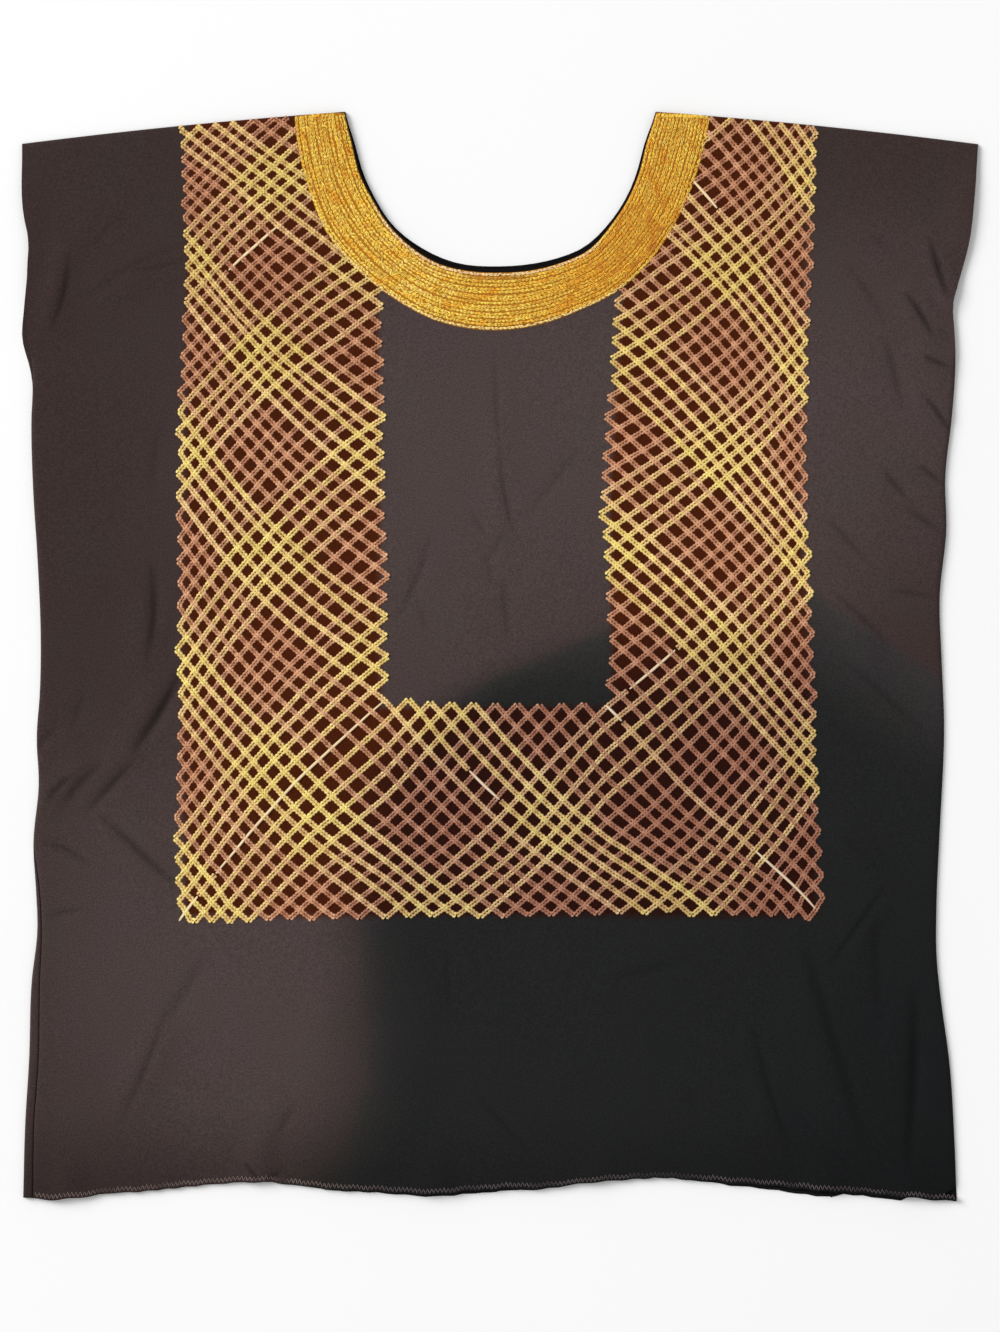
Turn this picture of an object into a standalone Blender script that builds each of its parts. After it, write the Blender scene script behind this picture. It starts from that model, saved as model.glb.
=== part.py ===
"""Huipil blouse of black cotton, laid flat with its front up.

Two panels are joined at the shoulders and down the sides. The front panel carries a dense neck band
and a U-shaped lattice band, both worked in chain stitch. Metres, +Z up: the garment lies on z = 0,
its shoulders towards +Y, and the origin is the middle of its length and width on that surface.
"""

import math

import bmesh
import bpy
import numpy as np
from mathutils.bvhtree import BVHTree


def table(names, *rows):
    """A short table as one array for each of its named columns."""
    return dict(zip(names.split(), np.array(rows, float).T))


# All sizes below are in millimetres; MM turns them into metres where a mesh is made.
MM = 0.001

# Heights of the stack, from the surface up.
CLOTH = 1.2
SEAM_GAP = 0.3
NECK_BAND_THICK = 1.2
LATTICE_THICK = 0.8
HEM_ROLL_THICK = 0.7
BACK_LEVEL = 0.0
FRONT_LEVEL = CLOTH + SEAM_GAP
HIGH_ABOVE = 100.0

# The neck corners stand highest, and the shoulders slope away from them to the tips.
NECK_CORNER_Y = 380.8
SHOULDER_BOW = 1.6

# The side edges: y, how far out from the middle the back panel reaches there, and how far inside it
# the front panel's edge lies.
LEFT_SIDE = table(
    "y out front_in",
    (-378.7, 333.6, 7.2),
    (-326.9, 332.2, 6.6),
    (-282.8, 329.5, 7.0),
    (-226.8, 327.6, 6.0),
    (-192.5, 323.7, 3.4),
    (-161.0, 324.8, 2.8),
    (-132.3, 326.6, 0.4),
    (-87.5, 322.7, 0.4),
    (-58.1, 324.3, 0.4),
    (-25.2, 322.0, 0.4),
    (8.4, 321.4, 0.4),
    (68.6, 323.7, 0.4),
    (113.4, 326.6, 0.4),
    (166.6, 328.0, 0.4),
    (193.2, 327.3, 0.4),
    (207.2, 330.4, 3.2),
    (219.8, 334.4, 4.4),
    (238.7, 333.5, 3.2),
    (269.5, 330.8, 0.4),
    (291.9, 330.0, 0.4),
    (307.3, 333.2, 0.4),
    (358.4, 334.5, 0.4),
)
RIGHT_SIDE = table(
    "y out front_in",
    (-380.2, 319.6, 0.4),
    (-340.2, 318.1, 0.4),
    (-282.1, 314.3, 0.4),
    (-244.3, 309.1, 0.4),
    (-211.4, 305.6, 0.4),
    (-170.1, 305.6, 0.4),
    (-125.3, 307.6, 0.4),
    (-46.9, 310.8, 0.4),
    (-2.8, 309.1, 0.4),
    (39.9, 307.6, 0.4),
    (91.0, 312.5, 0.4),
    (123.2, 311.5, 0.4),
    (168.7, 316.4, 0.4),
    (207.9, 318.8, 0.4),
    (231.0, 317.8, 0.4),
    (247.1, 316.9, 0.4),
    (260.4, 320.6, 0.4),
    (287.7, 328.0, 0.4),
    (322.7, 332.2, 0.4),
    (358.2, 334.6, 0.4),
)

# The hem: x, the back panel's lower edge there, and how far above it the front panel's edge lies.
HEM = table(
    "x y front_in",
    (-333.6, -378.7, 0.5),
    (-310.1, -380.6, 0.5),
    (-282.8, -377.3, 0.5),
    (-227.5, -372.8, 0.5),
    (-175.7, -368.2, 0.6),
    (-149.1, -369.6, 0.7),
    (-126.7, -372.8, 0.9),
    (-86.8, -375.9, 1.5),
    (-42.0, -378.0, 2.5),
    (0.0, -374.5, 2.0),
    (33.6, -372.8, 1.0),
    (67.2, -368.2, 0.7),
    (125.3, -366.0, 0.6),
    (156.1, -370.3, 2.0),
    (200.9, -377.3, 3.2),
    (231.0, -379.4, 3.4),
    (238.6, -375.9, 3.4),
    (279.3, -380.6, 3.4),
    (319.6, -380.2, 2.6),
)

# The neck, as distances from the point midway between its corners. Turn is degrees from straight
# down, negative to the left: the back panel's edge, then the neck band's inner and outer edges.
NECK = table(
    "turn opening inner outer",
    (-90, 108.2, 108.7, 143.5),
    (-78, 104.0, 105.9, 143.5),
    (-66, 104.9, 107.5, 144.8),
    (-55, 106.5, 108.4, 148.1),
    (-45, 109.0, 111.0, 149.1),
    (-30, 109.9, 114.1, 150.5),
    (-17, 110.1, 115.7, 153.2),
    (0, 108.1, 112.9, 153.3),
    (11, 108.6, 113.7, 151.8),
    (22, 110.1, 115.4, 150.0),
    (31, 111.4, 116.4, 150.4),
    (45, 109.0, 111.2, 148.6),
    (55, 107.0, 108.8, 146.1),
    (66, 104.7, 106.4, 144.5),
    (78, 103.5, 104.9, 144.9),
    (90, 108.9, 109.4, 147.0),
)
FRONT_NECK_SHARE = 0.55

# The lattice band, counted in its own diamonds: where each count of diamonds falls across and up.
LATTICE_ACROSS = table("count x", (0, -221.9), (11, -80.5), (22, 74.9), (33, 220.5))
LATTICE_UP = table("count y", (0, -184.1), (11, -32.9), (46, 383.6))
BAND_DIAMONDS = 11
LATTICE_DIAMONDS = 33
SHOULDER_CLEAR = 2.0

# The largest folds of the front panel: each runs from one end to the other along its crest, and
# falls away over its width on each side.
FOLDS = table(
    "x0 y0 x1 y1 height width",
    (-300.0, 300.0, -318.0, 216.0, 2.6, 9.0),
    (-215.0, 282.0, -296.0, 248.0, 1.4, 14.0),
    (-225.0, -10.0, -296.0, -116.0, 3.4, 11.0),
    (-286.0, -72.0, -326.0, -112.0, 2.6, 9.0),
    (-286.0, -100.0, -222.0, -170.0, 1.8, 13.0),
    (-240.0, 54.0, -250.0, -22.0, 1.4, 11.0),
    (-230.0, -246.0, -268.0, -332.0, 1.8, 13.0),
    (-332.0, 360.0, -336.0, 214.0, 1.8, 15.0),
    (296.0, 302.0, 322.0, 236.0, 3.6, 8.0),
    (278.0, 262.0, 308.0, 214.0, 2.4, 8.0),
    (284.0, 216.0, 322.0, 198.0, 2.2, 8.0),
    (284.0, 188.0, 320.0, 158.0, 1.8, 9.0),
    (238.0, 60.0, 268.0, -30.0, 1.8, 12.0),
    (228.0, -110.0, 276.0, -160.0, 1.8, 11.0),
    (234.0, -222.0, 276.0, -156.0, 1.5, 11.0),
    (206.0, -186.0, 256.0, -350.0, 2.6, 20.0),
    (178.0, -282.0, 200.0, -352.0, 1.4, 12.0),
    (332.0, 356.0, 320.0, 262.0, 1.8, 15.0),
    (0.0, 236.0, 0.0, 6.0, 0.9, 9.0),
    (-166.0, -318.0, -172.0, -400.0, 2.6, 10.0),
    (-300.0, -344.0, -306.0, -410.0, 2.2, 12.0),
    (-48.0, -336.0, -44.0, -412.0, 2.0, 14.0),
    (70.0, -340.0, 66.0, -404.0, 1.6, 13.0),
    (222.0, -350.0, 232.0, -410.0, 2.2, 10.0),
    (284.0, -342.0, 290.0, -414.0, 2.0, 13.0),
)
RIPPLE_HEIGHT = 0.35

# The mesh lines of the panels: close together down the sides, where the folds are, and wide between.
SIDE_LINES = 10.0
SIDE_LINES_FROM, SIDE_LINES_TO = 216.0, 330.0
MIDDLE_LINES = 17
CROSS_LINES = 48
CROSS_LINES_TO = 372.0
EDGE_STEP = 9.0
HEM_ROLL_STEP = 5.0
HEM_ROLL_WIDTH = 3.6
MERGE = 0.15

BLACK_COTTON = (0.034, 0.026, 0.025)
GOLD_THREAD = (0.74, 0.44, 0.045)
RUST_AND_YELLOW_THREAD = (0.42, 0.20, 0.06)
HEM_THREAD = (0.060, 0.040, 0.034)


def smooth(stations, values, at):
    """Cubic Hermite curve through the rows of a table, its slopes taken from the rows on each side."""
    slopes = np.gradient(values, stations)
    row = np.clip(np.searchsorted(stations, at, side="right") - 1, 0, len(stations) - 2)
    step = stations[row + 1] - stations[row]
    t = (at - stations[row]) / step
    start = (1 + 2 * t) * (1 - t) ** 2 * values[row] + t * (1 - t) ** 2 * step * slopes[row]
    end = t**2 * (3 - 2 * t) * values[row + 1] - t**2 * (1 - t) * step * slopes[row + 1]
    return start + end


def lift(x, y):
    """Height of the front panel above its flat place: a slow ripple, and the crests of its folds."""
    first = 1 + np.sin(2 * math.pi * (x / 300 + y / 520) + 0.6)
    second = 1 + np.sin(2 * math.pi * (y / 380 - x / 610) + 2.1)
    height = RIPPLE_HEIGHT * (first + second)
    for x0, y0, x1, y1, crest, width in zip(*FOLDS.values()):
        run = np.hypot(x1 - x0, y1 - y0)
        along = ((x - x0) * (x1 - x0) + (y - y0) * (y1 - y0)) / run**2
        across = ((x - x0) * (y1 - y0) - (y - y0) * (x1 - x0)) / run / width
        height = height + crest * np.exp(-(across**2)) * np.sin(math.pi * np.clip(along, 0, 1)) ** 2
    return height


def flat(x, y):
    """The back panel lies flat on the surface."""
    return 0 * x * y


def top_of(piece):
    """The height function that reads the upper surface of a piece that is laid already."""
    surface = BVHTree.FromPolygons(
        [corner.co / MM for corner in piece.data.vertices],
        [face.vertices for face in piece.data.polygons],
    )

    def height(x, y):
        above = (x, y, HIGH_ABOVE)
        below = surface.ray_cast(above, (0, 0, -1))[0] or surface.find_nearest(above)[0]
        return below.z

    return height


def side_points(side, sign, inset):
    """Points up one side edge, from the hem to the shoulder tip. The inset is 1 for the front panel."""
    y = np.linspace(side["y"][0], side["y"][-1], round(np.ptp(side["y"]) / EDGE_STEP))
    out = smooth(side["y"], side["out"], y) - inset * smooth(side["y"], side["front_in"], y)
    return np.column_stack([sign * out, y])


def hem_points(inset, left_end, right_end, step):
    """Points along the hem from left to right, between the lower ends of the two side edges."""
    x = np.linspace(left_end, right_end, round((right_end - left_end) / step))
    y = smooth(HEM["x"], HEM["y"], x) + inset * smooth(HEM["x"], HEM["front_in"], x)
    return np.column_stack([x, y])


def neck_points(distance, turns):
    """Points round the neck at a distance, given for each row of the neck table, from its middle."""
    away = smooth(NECK["turn"], distance, turns)
    angle = np.radians(turns)
    return np.column_stack([away * np.sin(angle), NECK_CORNER_Y - away * np.cos(angle)])


def shoulder_points(tip, corner):
    """Points between a shoulder tip and a neck corner, on a line that bows up a little."""
    share = np.linspace(0, 1, 9)[1:-1, None]
    line = np.array(tip) * (1 - share) + np.array(corner) * share
    return line + np.column_stack([0 * share, SHOULDER_BOW * 4 * share * (1 - share)])


def panel_outline(inset):
    """The outline of the back panel (inset 0) or front panel (inset 1), counter-clockwise from the left tip."""
    left = side_points(LEFT_SIDE, -1, inset)[::-1]
    right = side_points(RIGHT_SIDE, 1, inset)
    share = FRONT_NECK_SHARE * inset
    edge = NECK["opening"] * (1 - share) + NECK["inner"] * share
    neck = neck_points(edge, np.linspace(90, -90, 49))
    hem = hem_points(inset, left[-1, 0], right[0, 0], EDGE_STEP)
    over_right = shoulder_points(right[-1], neck[0])
    over_left = shoulder_points(neck[-1], left[0])
    return np.concatenate([left[:-1], hem, right[1:], over_right, neck, over_left])


def shoulder_y(x):
    """Height of the shoulder line above x, without its bow."""
    corner = NECK["opening"][0]
    tip_out, tip_y = LEFT_SIDE["out"][-1], LEFT_SIDE["y"][-1]
    return NECK_CORNER_Y - (NECK_CORNER_Y - tip_y) * (np.abs(x) - corner) / (tip_out - corner)


def lattice_points(counts):
    """The place of points given in diamonds across and diamonds up."""
    across, up = np.array(counts, float).T
    x = np.interp(across, LATTICE_ACROSS["count"], LATTICE_ACROSS["x"])
    y = np.interp(up, LATTICE_UP["count"], LATTICE_UP["y"])
    return np.column_stack([x, y])


def zigzag(start, end, tip_at, inward):
    """A lattice edge as tips, one for each diamond, with a notch half a diamond deep after each."""
    step = 1 if end > start else -1
    counts = np.arange(start, end, step / 2)
    depth = np.where(np.arange(len(counts)) % 2, 0.5 * inward, 0)
    return counts, tip_at + depth


def lattice_side(start, end, column, inward):
    """A zigzag edge that runs up or down at a column of diamonds."""
    up, across = zigzag(start, end, column, inward)
    return lattice_points(np.column_stack([across, up]))


def lattice_foot(start, end, row, inward):
    """A zigzag edge that runs across at a row of diamonds."""
    across, up = zigzag(start, end, row, inward)
    return lattice_points(np.column_stack([across, up]))


def round_the_neck_band(first_turn, last_turn):
    """Points just outside the neck band's outer edge, between two turns."""
    return neck_points(NECK["outer"] + SEAM_GAP, np.linspace(first_turn, last_turn, 15))


def lattice_outline():
    """The lattice band's outline: down its left edge, across its foot, up its right and back inside."""
    inner_left, inner_right = BAND_DIAMONDS, LATTICE_DIAMONDS - BAND_DIAMONDS
    top, inner_top = 44, 34
    outline = np.concatenate([
        lattice_side(top, 0, 0, 1),
        lattice_foot(0, LATTICE_DIAMONDS, 0, 1),
        lattice_side(0, top, LATTICE_DIAMONDS, -1),
        lattice_points([(LATTICE_DIAMONDS, top), (LATTICE_DIAMONDS - 1, top + 1)]),
        round_the_neck_band(84, 32),
        lattice_side(inner_top, BAND_DIAMONDS, inner_right, 1),
        lattice_foot(inner_right, inner_left, BAND_DIAMONDS, -1),
        lattice_side(BAND_DIAMONDS, inner_top, inner_left, -1),
        round_the_neck_band(-34, -84),
        lattice_points([(1, top + 1)]),
    ])
    outline[:, 1] = np.minimum(outline[:, 1], shoulder_y(outline[:, 0]) - SHOULDER_CLEAR)
    return outline


def neck_band_outline():
    """The neck band's outline, round its outer edge and back along its inner one."""
    turns = np.linspace(-89, 89, 49)
    outer = neck_points(NECK["outer"], turns)
    inner = neck_points(NECK["inner"], turns[::-1])
    outline = np.concatenate([outer, inner])
    outline[:, 1] = np.minimum(outline[:, 1], shoulder_y(outline[:, 0]) - SEAM_GAP)
    return outline


def hem_roll_outline():
    """The rolled hem of the front panel, a narrow strip along its lower edge."""
    left = side_points(LEFT_SIDE, -1, 1)[0, 0] + SEAM_GAP
    right = side_points(RIGHT_SIDE, 1, 1)[0, 0] - SEAM_GAP
    edge = hem_points(1, left, right, HEM_ROLL_STEP)
    return np.concatenate([edge + (0, SEAM_GAP), edge[::-1] + (0, HEM_ROLL_WIDTH)])


def side_turn_outline():
    """The strip at the lower left where the back panel's margin is turned onto the front."""
    back = side_points(LEFT_SIDE, -1, 0)
    front = side_points(LEFT_SIDE, -1, 1)
    turned = back[:, 1] < LEFT_SIDE["y"][5]
    seam = front[turned][::-1] - (2 * SEAM_GAP, 0)
    return np.concatenate([back[turned], seam])


def mesh_lines(every):
    """Where the mesh lines fall, in x and in y, taking every one or every second."""
    side = np.arange(SIDE_LINES_FROM, SIDE_LINES_TO, SIDE_LINES)
    middle = np.linspace(-SIDE_LINES_FROM, SIDE_LINES_FROM, MIDDLE_LINES)
    across = np.concatenate([-side[:0:-1], middle, side[1:]])
    up = np.linspace(-CROSS_LINES_TO, CROSS_LINES_TO, CROSS_LINES)
    return across[::every], up[::every]


def divide(sheet, lines, normal):
    """Divides the faces of a flat sheet along lines at right angles to the normal."""
    for place in lines:
        everything = sheet.verts[:] + sheet.edges[:] + sheet.faces[:]
        on_line = tuple(place * MM * part for part in normal)
        bmesh.ops.bisect_plane(sheet, geom=everything, dist=1e-7, plane_co=on_line, plane_no=normal)


def lay(name, outline, level, thickness, height, material, every=0):
    """Lays a piece of the given outline: a wall of even thickness that follows the height function."""
    sheet = bmesh.new()
    sheet.faces.new([sheet.verts.new((x * MM, y * MM, 0)) for x, y in outline])
    if every:
        across, up = mesh_lines(every)
        divide(sheet, across, (1, 0, 0))
        divide(sheet, up, (0, 1, 0))
    bmesh.ops.remove_doubles(sheet, verts=sheet.verts[:], dist=MERGE * MM)
    bmesh.ops.triangulate(sheet, faces=sheet.faces[:])
    for vert in sheet.verts:
        vert.co.z = (level + height(vert.co.x / MM, vert.co.y / MM)) * MM
    raised = bmesh.ops.extrude_face_region(sheet, geom=sheet.faces[:])["geom"]
    upper = [part for part in raised if isinstance(part, bmesh.types.BMVert)]
    bmesh.ops.translate(sheet, verts=upper, vec=(0, 0, thickness * MM))
    bmesh.ops.recalc_face_normals(sheet, faces=sheet.faces[:])
    mesh = bpy.data.meshes.new(name)
    sheet.to_mesh(mesh)
    sheet.free()
    mesh.materials.append(material)
    piece = bpy.data.objects.new(name, mesh)
    bpy.context.scene.collection.objects.link(piece)
    return piece


def cloth(name, colour, roughness):
    """A matt Principled material."""
    material = bpy.data.materials.new(name)
    material.use_nodes = True
    shader = material.node_tree.nodes["Principled BSDF"]
    shader.inputs["Base Color"].default_value = (*colour, 1)
    shader.inputs["Roughness"].default_value = roughness
    shader.inputs["Metallic"].default_value = 0
    return material


def clear_scene():
    """Removes whatever objects the file opened with."""
    for thing in list(bpy.data.objects):
        bpy.data.objects.remove(thing)


clear_scene()
black = cloth("black_cotton", BLACK_COTTON, 0.85)
gold = cloth("gold_thread", GOLD_THREAD, 0.5)
rust = cloth("rust_and_yellow_thread", RUST_AND_YELLOW_THREAD, 0.55)
hem = cloth("hem_thread", HEM_THREAD, 0.7)
lay("back_panel", panel_outline(0), BACK_LEVEL, CLOTH, flat, black)
front = lay("front_panel", panel_outline(1), FRONT_LEVEL, CLOTH, lift, black, every=1)
lay("side_turn_left", side_turn_outline(), FRONT_LEVEL, CLOTH, lift, black)
on_front = top_of(front)
lay("hem_roll_front", hem_roll_outline(), SEAM_GAP, HEM_ROLL_THICK, on_front, hem, every=1)
lay("neck_band", neck_band_outline(), SEAM_GAP, NECK_BAND_THICK, on_front, gold, every=2)
lay("lattice_band", lattice_outline(), SEAM_GAP, LATTICE_THICK, on_front, rust, every=2)
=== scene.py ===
import math

import bpy
import numpy as np
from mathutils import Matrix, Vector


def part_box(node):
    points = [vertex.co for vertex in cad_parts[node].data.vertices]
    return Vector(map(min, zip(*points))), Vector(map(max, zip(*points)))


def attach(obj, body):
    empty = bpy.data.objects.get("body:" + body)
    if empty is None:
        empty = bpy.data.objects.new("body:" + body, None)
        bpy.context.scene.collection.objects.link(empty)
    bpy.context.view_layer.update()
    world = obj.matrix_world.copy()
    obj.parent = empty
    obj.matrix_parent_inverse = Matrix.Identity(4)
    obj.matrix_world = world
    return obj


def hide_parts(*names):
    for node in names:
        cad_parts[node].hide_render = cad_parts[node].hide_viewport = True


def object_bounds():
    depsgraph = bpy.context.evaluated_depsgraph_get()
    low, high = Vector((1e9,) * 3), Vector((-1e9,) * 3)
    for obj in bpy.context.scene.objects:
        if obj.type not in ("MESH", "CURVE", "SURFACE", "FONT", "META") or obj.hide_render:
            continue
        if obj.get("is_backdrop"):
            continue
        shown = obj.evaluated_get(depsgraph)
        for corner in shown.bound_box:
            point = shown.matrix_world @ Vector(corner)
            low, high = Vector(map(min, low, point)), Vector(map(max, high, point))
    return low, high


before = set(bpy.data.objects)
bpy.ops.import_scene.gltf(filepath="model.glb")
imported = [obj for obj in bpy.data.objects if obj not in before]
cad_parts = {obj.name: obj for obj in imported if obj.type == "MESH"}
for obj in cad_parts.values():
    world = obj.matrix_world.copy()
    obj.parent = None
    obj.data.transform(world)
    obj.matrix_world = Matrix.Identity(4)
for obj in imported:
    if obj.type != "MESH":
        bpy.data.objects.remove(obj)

cad_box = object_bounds()

# The back panel: one width of light black cotton with a scooped neck. It lies underneath, flat on the
# surface, and only a rim of it shows inside the neck, beside the front's edges and below its hem.
# Sizes here and below are in millimetres, and MM turns them into metres where a mesh is made.
MM = 0.001
CLOTH_THICK = 0.5
SIDES_OUTSIDE = 300.0
MESH_STEP_BACK, STEP_WIDER_ACROSS = 7.0, 1.15
CLOSE_TO_EDGE = (0.4, 1.0, 1.9)
BACK_HEM = """x y
    133.0 -366.8
    232.1 -378.8
    236.3 -376.4
    280.7 -380.8
    283.5 -378.8
    318.9 -381.2"""
HEM_POINTS = 230
PUCKERS = """height length sway sway_length
    0.30 7.3 1.7 23
    0.42 2.7 2.0 19"""
PUCKER_STARTS = 10.0
BACK_FOLDS = """x0 y0 x1 y1 height width
    -250 300 -320 190 0.60 11
    -180 -60 -300 -150 0.65 13
    -60 -120 -20 -330 0.50 16
    90 240 110 20 0.45 14
    160 -40 290 -120 0.60 12
    250 290 318 240 0.65 9
    210 -180 270 -340 0.60 15
    -230 -220 -290 -330 0.55 12
    -120 160 -140 -20 0.45 15"""

# The cotton's colours, painted light and shade among them, and how its threads and its dye vary:
# patches to the metre along x, y and z.
# A warm charcoal, a paler black for the broad patches that are partly painted light, and the grey black at
# the edge of the painted shade.
WARM_BLACK, PALER_BLACK, GREY_BLACK = (64, 51, 49), (84, 71, 70), (54, 55, 56)
# The deeper black, partly painted shade and partly a darker tone, and at its deepest towards the lower
# right corner.
DEEP_TONE_AND_SHADE, DEEPEST_TONE_AND_SHADE = (35, 36, 36), (24, 26, 27)
# Painted shade between the lattice's threads, brown, and darker where the cotton's painted shade falls;
# and the dark neck facing with painted shadow.
SHADE_BETWEEN_THREADS, DEEPER_SHADE_BETWEEN_THREADS, FACING_AND_SHADOW_BLACK = (76, 28, 1), (43, 10, 2), (16, 12, 12)
ROSY, GREENISH = (255, 250, 255), (253, 255, 247)
DARK_FLECK, PALE_FLECK = (196, 196, 196), (255, 255, 255)
WARP, WEFT, GRAIN = (1900.0, 160.0, 300.0), (180.0, 2100.0, 300.0), (900.0, 900.0, 900.0)
CLOUDS, TINGES = (7.0, 5.5, 9.0), (24.0, 20.0, 24.0)
GRAIN_SHARE = 0.75
# Where it is paler, partly painted light: each patch's middle and reach, in metres like the other values
# of its finish.
PALER_PATCHES = """x y reach strength
    0.00 0.15 0.36 1.0
    -0.17 -0.21 0.31 0.9
    0.28 0.17 0.26 0.6"""
PALER_CLOUDY = 0.5
# The line past which it is a deeper black, partly painted shade: how far across it runs, the heights
# of its two bends and how it curves beyond them, how soft and uneven it is, and the height where the
# deeper black ends, which falls towards the right.
DEEP_FROM, DEEP_BEND, DEEP_SLOPE = -0.090, -0.12, 8.3
FOOT_BEND, FOOT_SLOPE = -0.27, 3.6
DEEP_SOFT, DEEP_SHARP, DEEP_UNEVEN = (-0.050, 0.037), (-0.015, 0.015), 0.06
DEEP_BELOW, DEEP_FALLS_FROM, DEEP_FALL = (0.054, -0.045), 0.215, 0.66
GREYED, GREY_SOFT = 0.7, 0.016
# The corner where the painted shade is deepest, and how far it reaches.
DEEP_CORNER, CORNER_REACH = (0.36, -0.36, 0.0), 0.38
# Painted shade in the creases and along the hem: how dark each is, and the heights over which the hem's
# fades out.
CREASE_SHADE, HEM_SHADE, HEM_SHADE_BELOW = 0.56, 0.28, (-0.374, -0.310)
# Its relief: one wave of the weave, the height of each part, and the strength of the bump.
WEAVE_WAVE = 0.0009
WEAVE_HIGH, SLUBS_HIGH, GRAIN_HIGH, CREASE_DEEP = 0.35, 0.9, 0.6, 10.0
BUMP_STRENGTH, BUMP_DISTANCE = 0.35, 0.00012


def table(text):
    """A short table, its first line the column names, as one array for each column."""
    names, *rows = text.strip().splitlines()
    return dict(zip(names.split(), np.array([row.split() for row in rows], float).T))


def rows_of(columns):
    """The rows of a table one by one, each as its values by column name."""
    return [dict(zip(columns, row)) for row in zip(*columns.values())]


def linear(colour, strength=1.0):
    """A colour given as 0 to 255 screen values, as the linear RGBA that a shader takes."""
    share = np.array(colour) / 255
    light = np.where(share > 0.04045, ((share + 0.055) / 1.055) ** 2.4, share / 12.92)
    return (*(light * strength).tolist(), 1.0)


class Shade:
    """A value or colour that a material works out at each point. Arithmetic on it adds Math nodes."""

    def __init__(self, socket):
        self.socket = socket

    def node(self, kind, settings, inputs, output=0):
        """Adds a node to the same material: its settings first, then a value or link for each socket."""
        tree = self.socket.id_data
        made = tree.nodes.new(kind)
        for name, setting in settings.items():
            if name == "stops":
                ramp = made.color_ramp.elements
                for stop, (place, colour) in enumerate(setting):
                    element = ramp[stop] if stop < 2 else ramp.new(place)
                    element.position = place
                    element.color = colour
            else:
                setattr(made, name, setting)
        for name, value in inputs.items():
            if isinstance(value, Shade):
                tree.links.new(value.socket, made.inputs[name])
            else:
                made.inputs[name].default_value = value
        return Shade(made.outputs[output])

    def maths(self, operation, *values):
        """One Math node on up to three values."""
        return self.node("ShaderNodeMath", {"operation": operation}, dict(enumerate(values)))

    def __add__(self, other):
        return self.maths("ADD", self, other)

    def __sub__(self, other):
        return self.maths("SUBTRACT", self, other)

    def __rsub__(self, other):
        return self.maths("SUBTRACT", other, self)

    def __mul__(self, other):
        return self.maths("MULTIPLY", self, other)

    __radd__ = __add__
    __rmul__ = __mul__

    def wave(self, length):
        """A sine of this value, one wave to each length."""
        return self.maths("SINE", self * (2 * math.pi / length))

    def rise(self, start, end):
        """0 below the start and 1 above the end, and smooth between."""
        settings = {"interpolation_type": "SMOOTHSTEP"}
        return self.node("ShaderNodeMapRange", settings, {0: self, 1: start, 2: end})

    def mix(self, low, high):
        """The low colour where this is 0 and the high colour where it is 1."""
        return self.node("ShaderNodeMix", {"data_type": "RGBA"}, {0: self, 6: low, 7: high}, output=2)

    def noise(self, scale, detail=2.0):
        """Noise over this vector, about 0.5 on average, with a scale for each axis."""
        place = self.node("ShaderNodeMapping", {}, {"Vector": self, "Scale": scale})
        return self.node("ShaderNodeTexNoise", {}, {"Vector": place, "Scale": 1.0, "Detail": detail})

    def part(self, axis):
        """One coordinate of this vector."""
        return self.node("ShaderNodeSeparateXYZ", {}, {0: self}, output=axis)

    def times(self, other):
        """Two colours multiplied."""
        settings = {"data_type": "RGBA", "blend_type": "MULTIPLY"}
        return self.node("ShaderNodeMix", settings, {0: 1.0, 6: self, 7: other}, output=2)

    def above(self, least):
        """This value, or the least one where it is smaller."""
        return self.maths("MAXIMUM", self, least)

    def power(self, exponent):
        """This value raised to a power."""
        return self.maths("POWER", self, exponent)

    def bell(self):
        """1 at 0, falling to 0 on both sides as a bell does."""
        return self.maths("EXPONENT", self * self * -1.0)

    def attribute(self, name):
        """The three values that the mesh's points hold under this name."""
        return self.node("ShaderNodeAttribute", {"attribute_name": name}, {}, output="Vector")

    def near(self, middle, reach):
        """1 at a point of this vector, falling smoothly to 0 at a distance."""
        away = self.node("ShaderNodeVectorMath", {"operation": "DISTANCE"}, {0: self, 1: middle}, output=1)
        return 1.0 - away.rise(0.0, reach)


def finish_of(name, coordinates):
    """A new material, its Principled shader, and the coordinates that its patterns read."""
    material = bpy.data.materials.new(name)
    material.use_nodes = True
    shader = material.node_tree.nodes["Principled BSDF"]
    base = Shade(shader.inputs["Base Color"])
    return material, shader, base.node("ShaderNodeTexCoord", {}, {}, output=coordinates)


def set_sockets(shader, values):
    """Sets or links the sockets of a shader, by name."""
    for name, value in values.items():
        if isinstance(value, Shade):
            shader.id_data.links.new(value.socket, shader.inputs[name])
        else:
            shader.inputs[name].default_value = value


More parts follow.
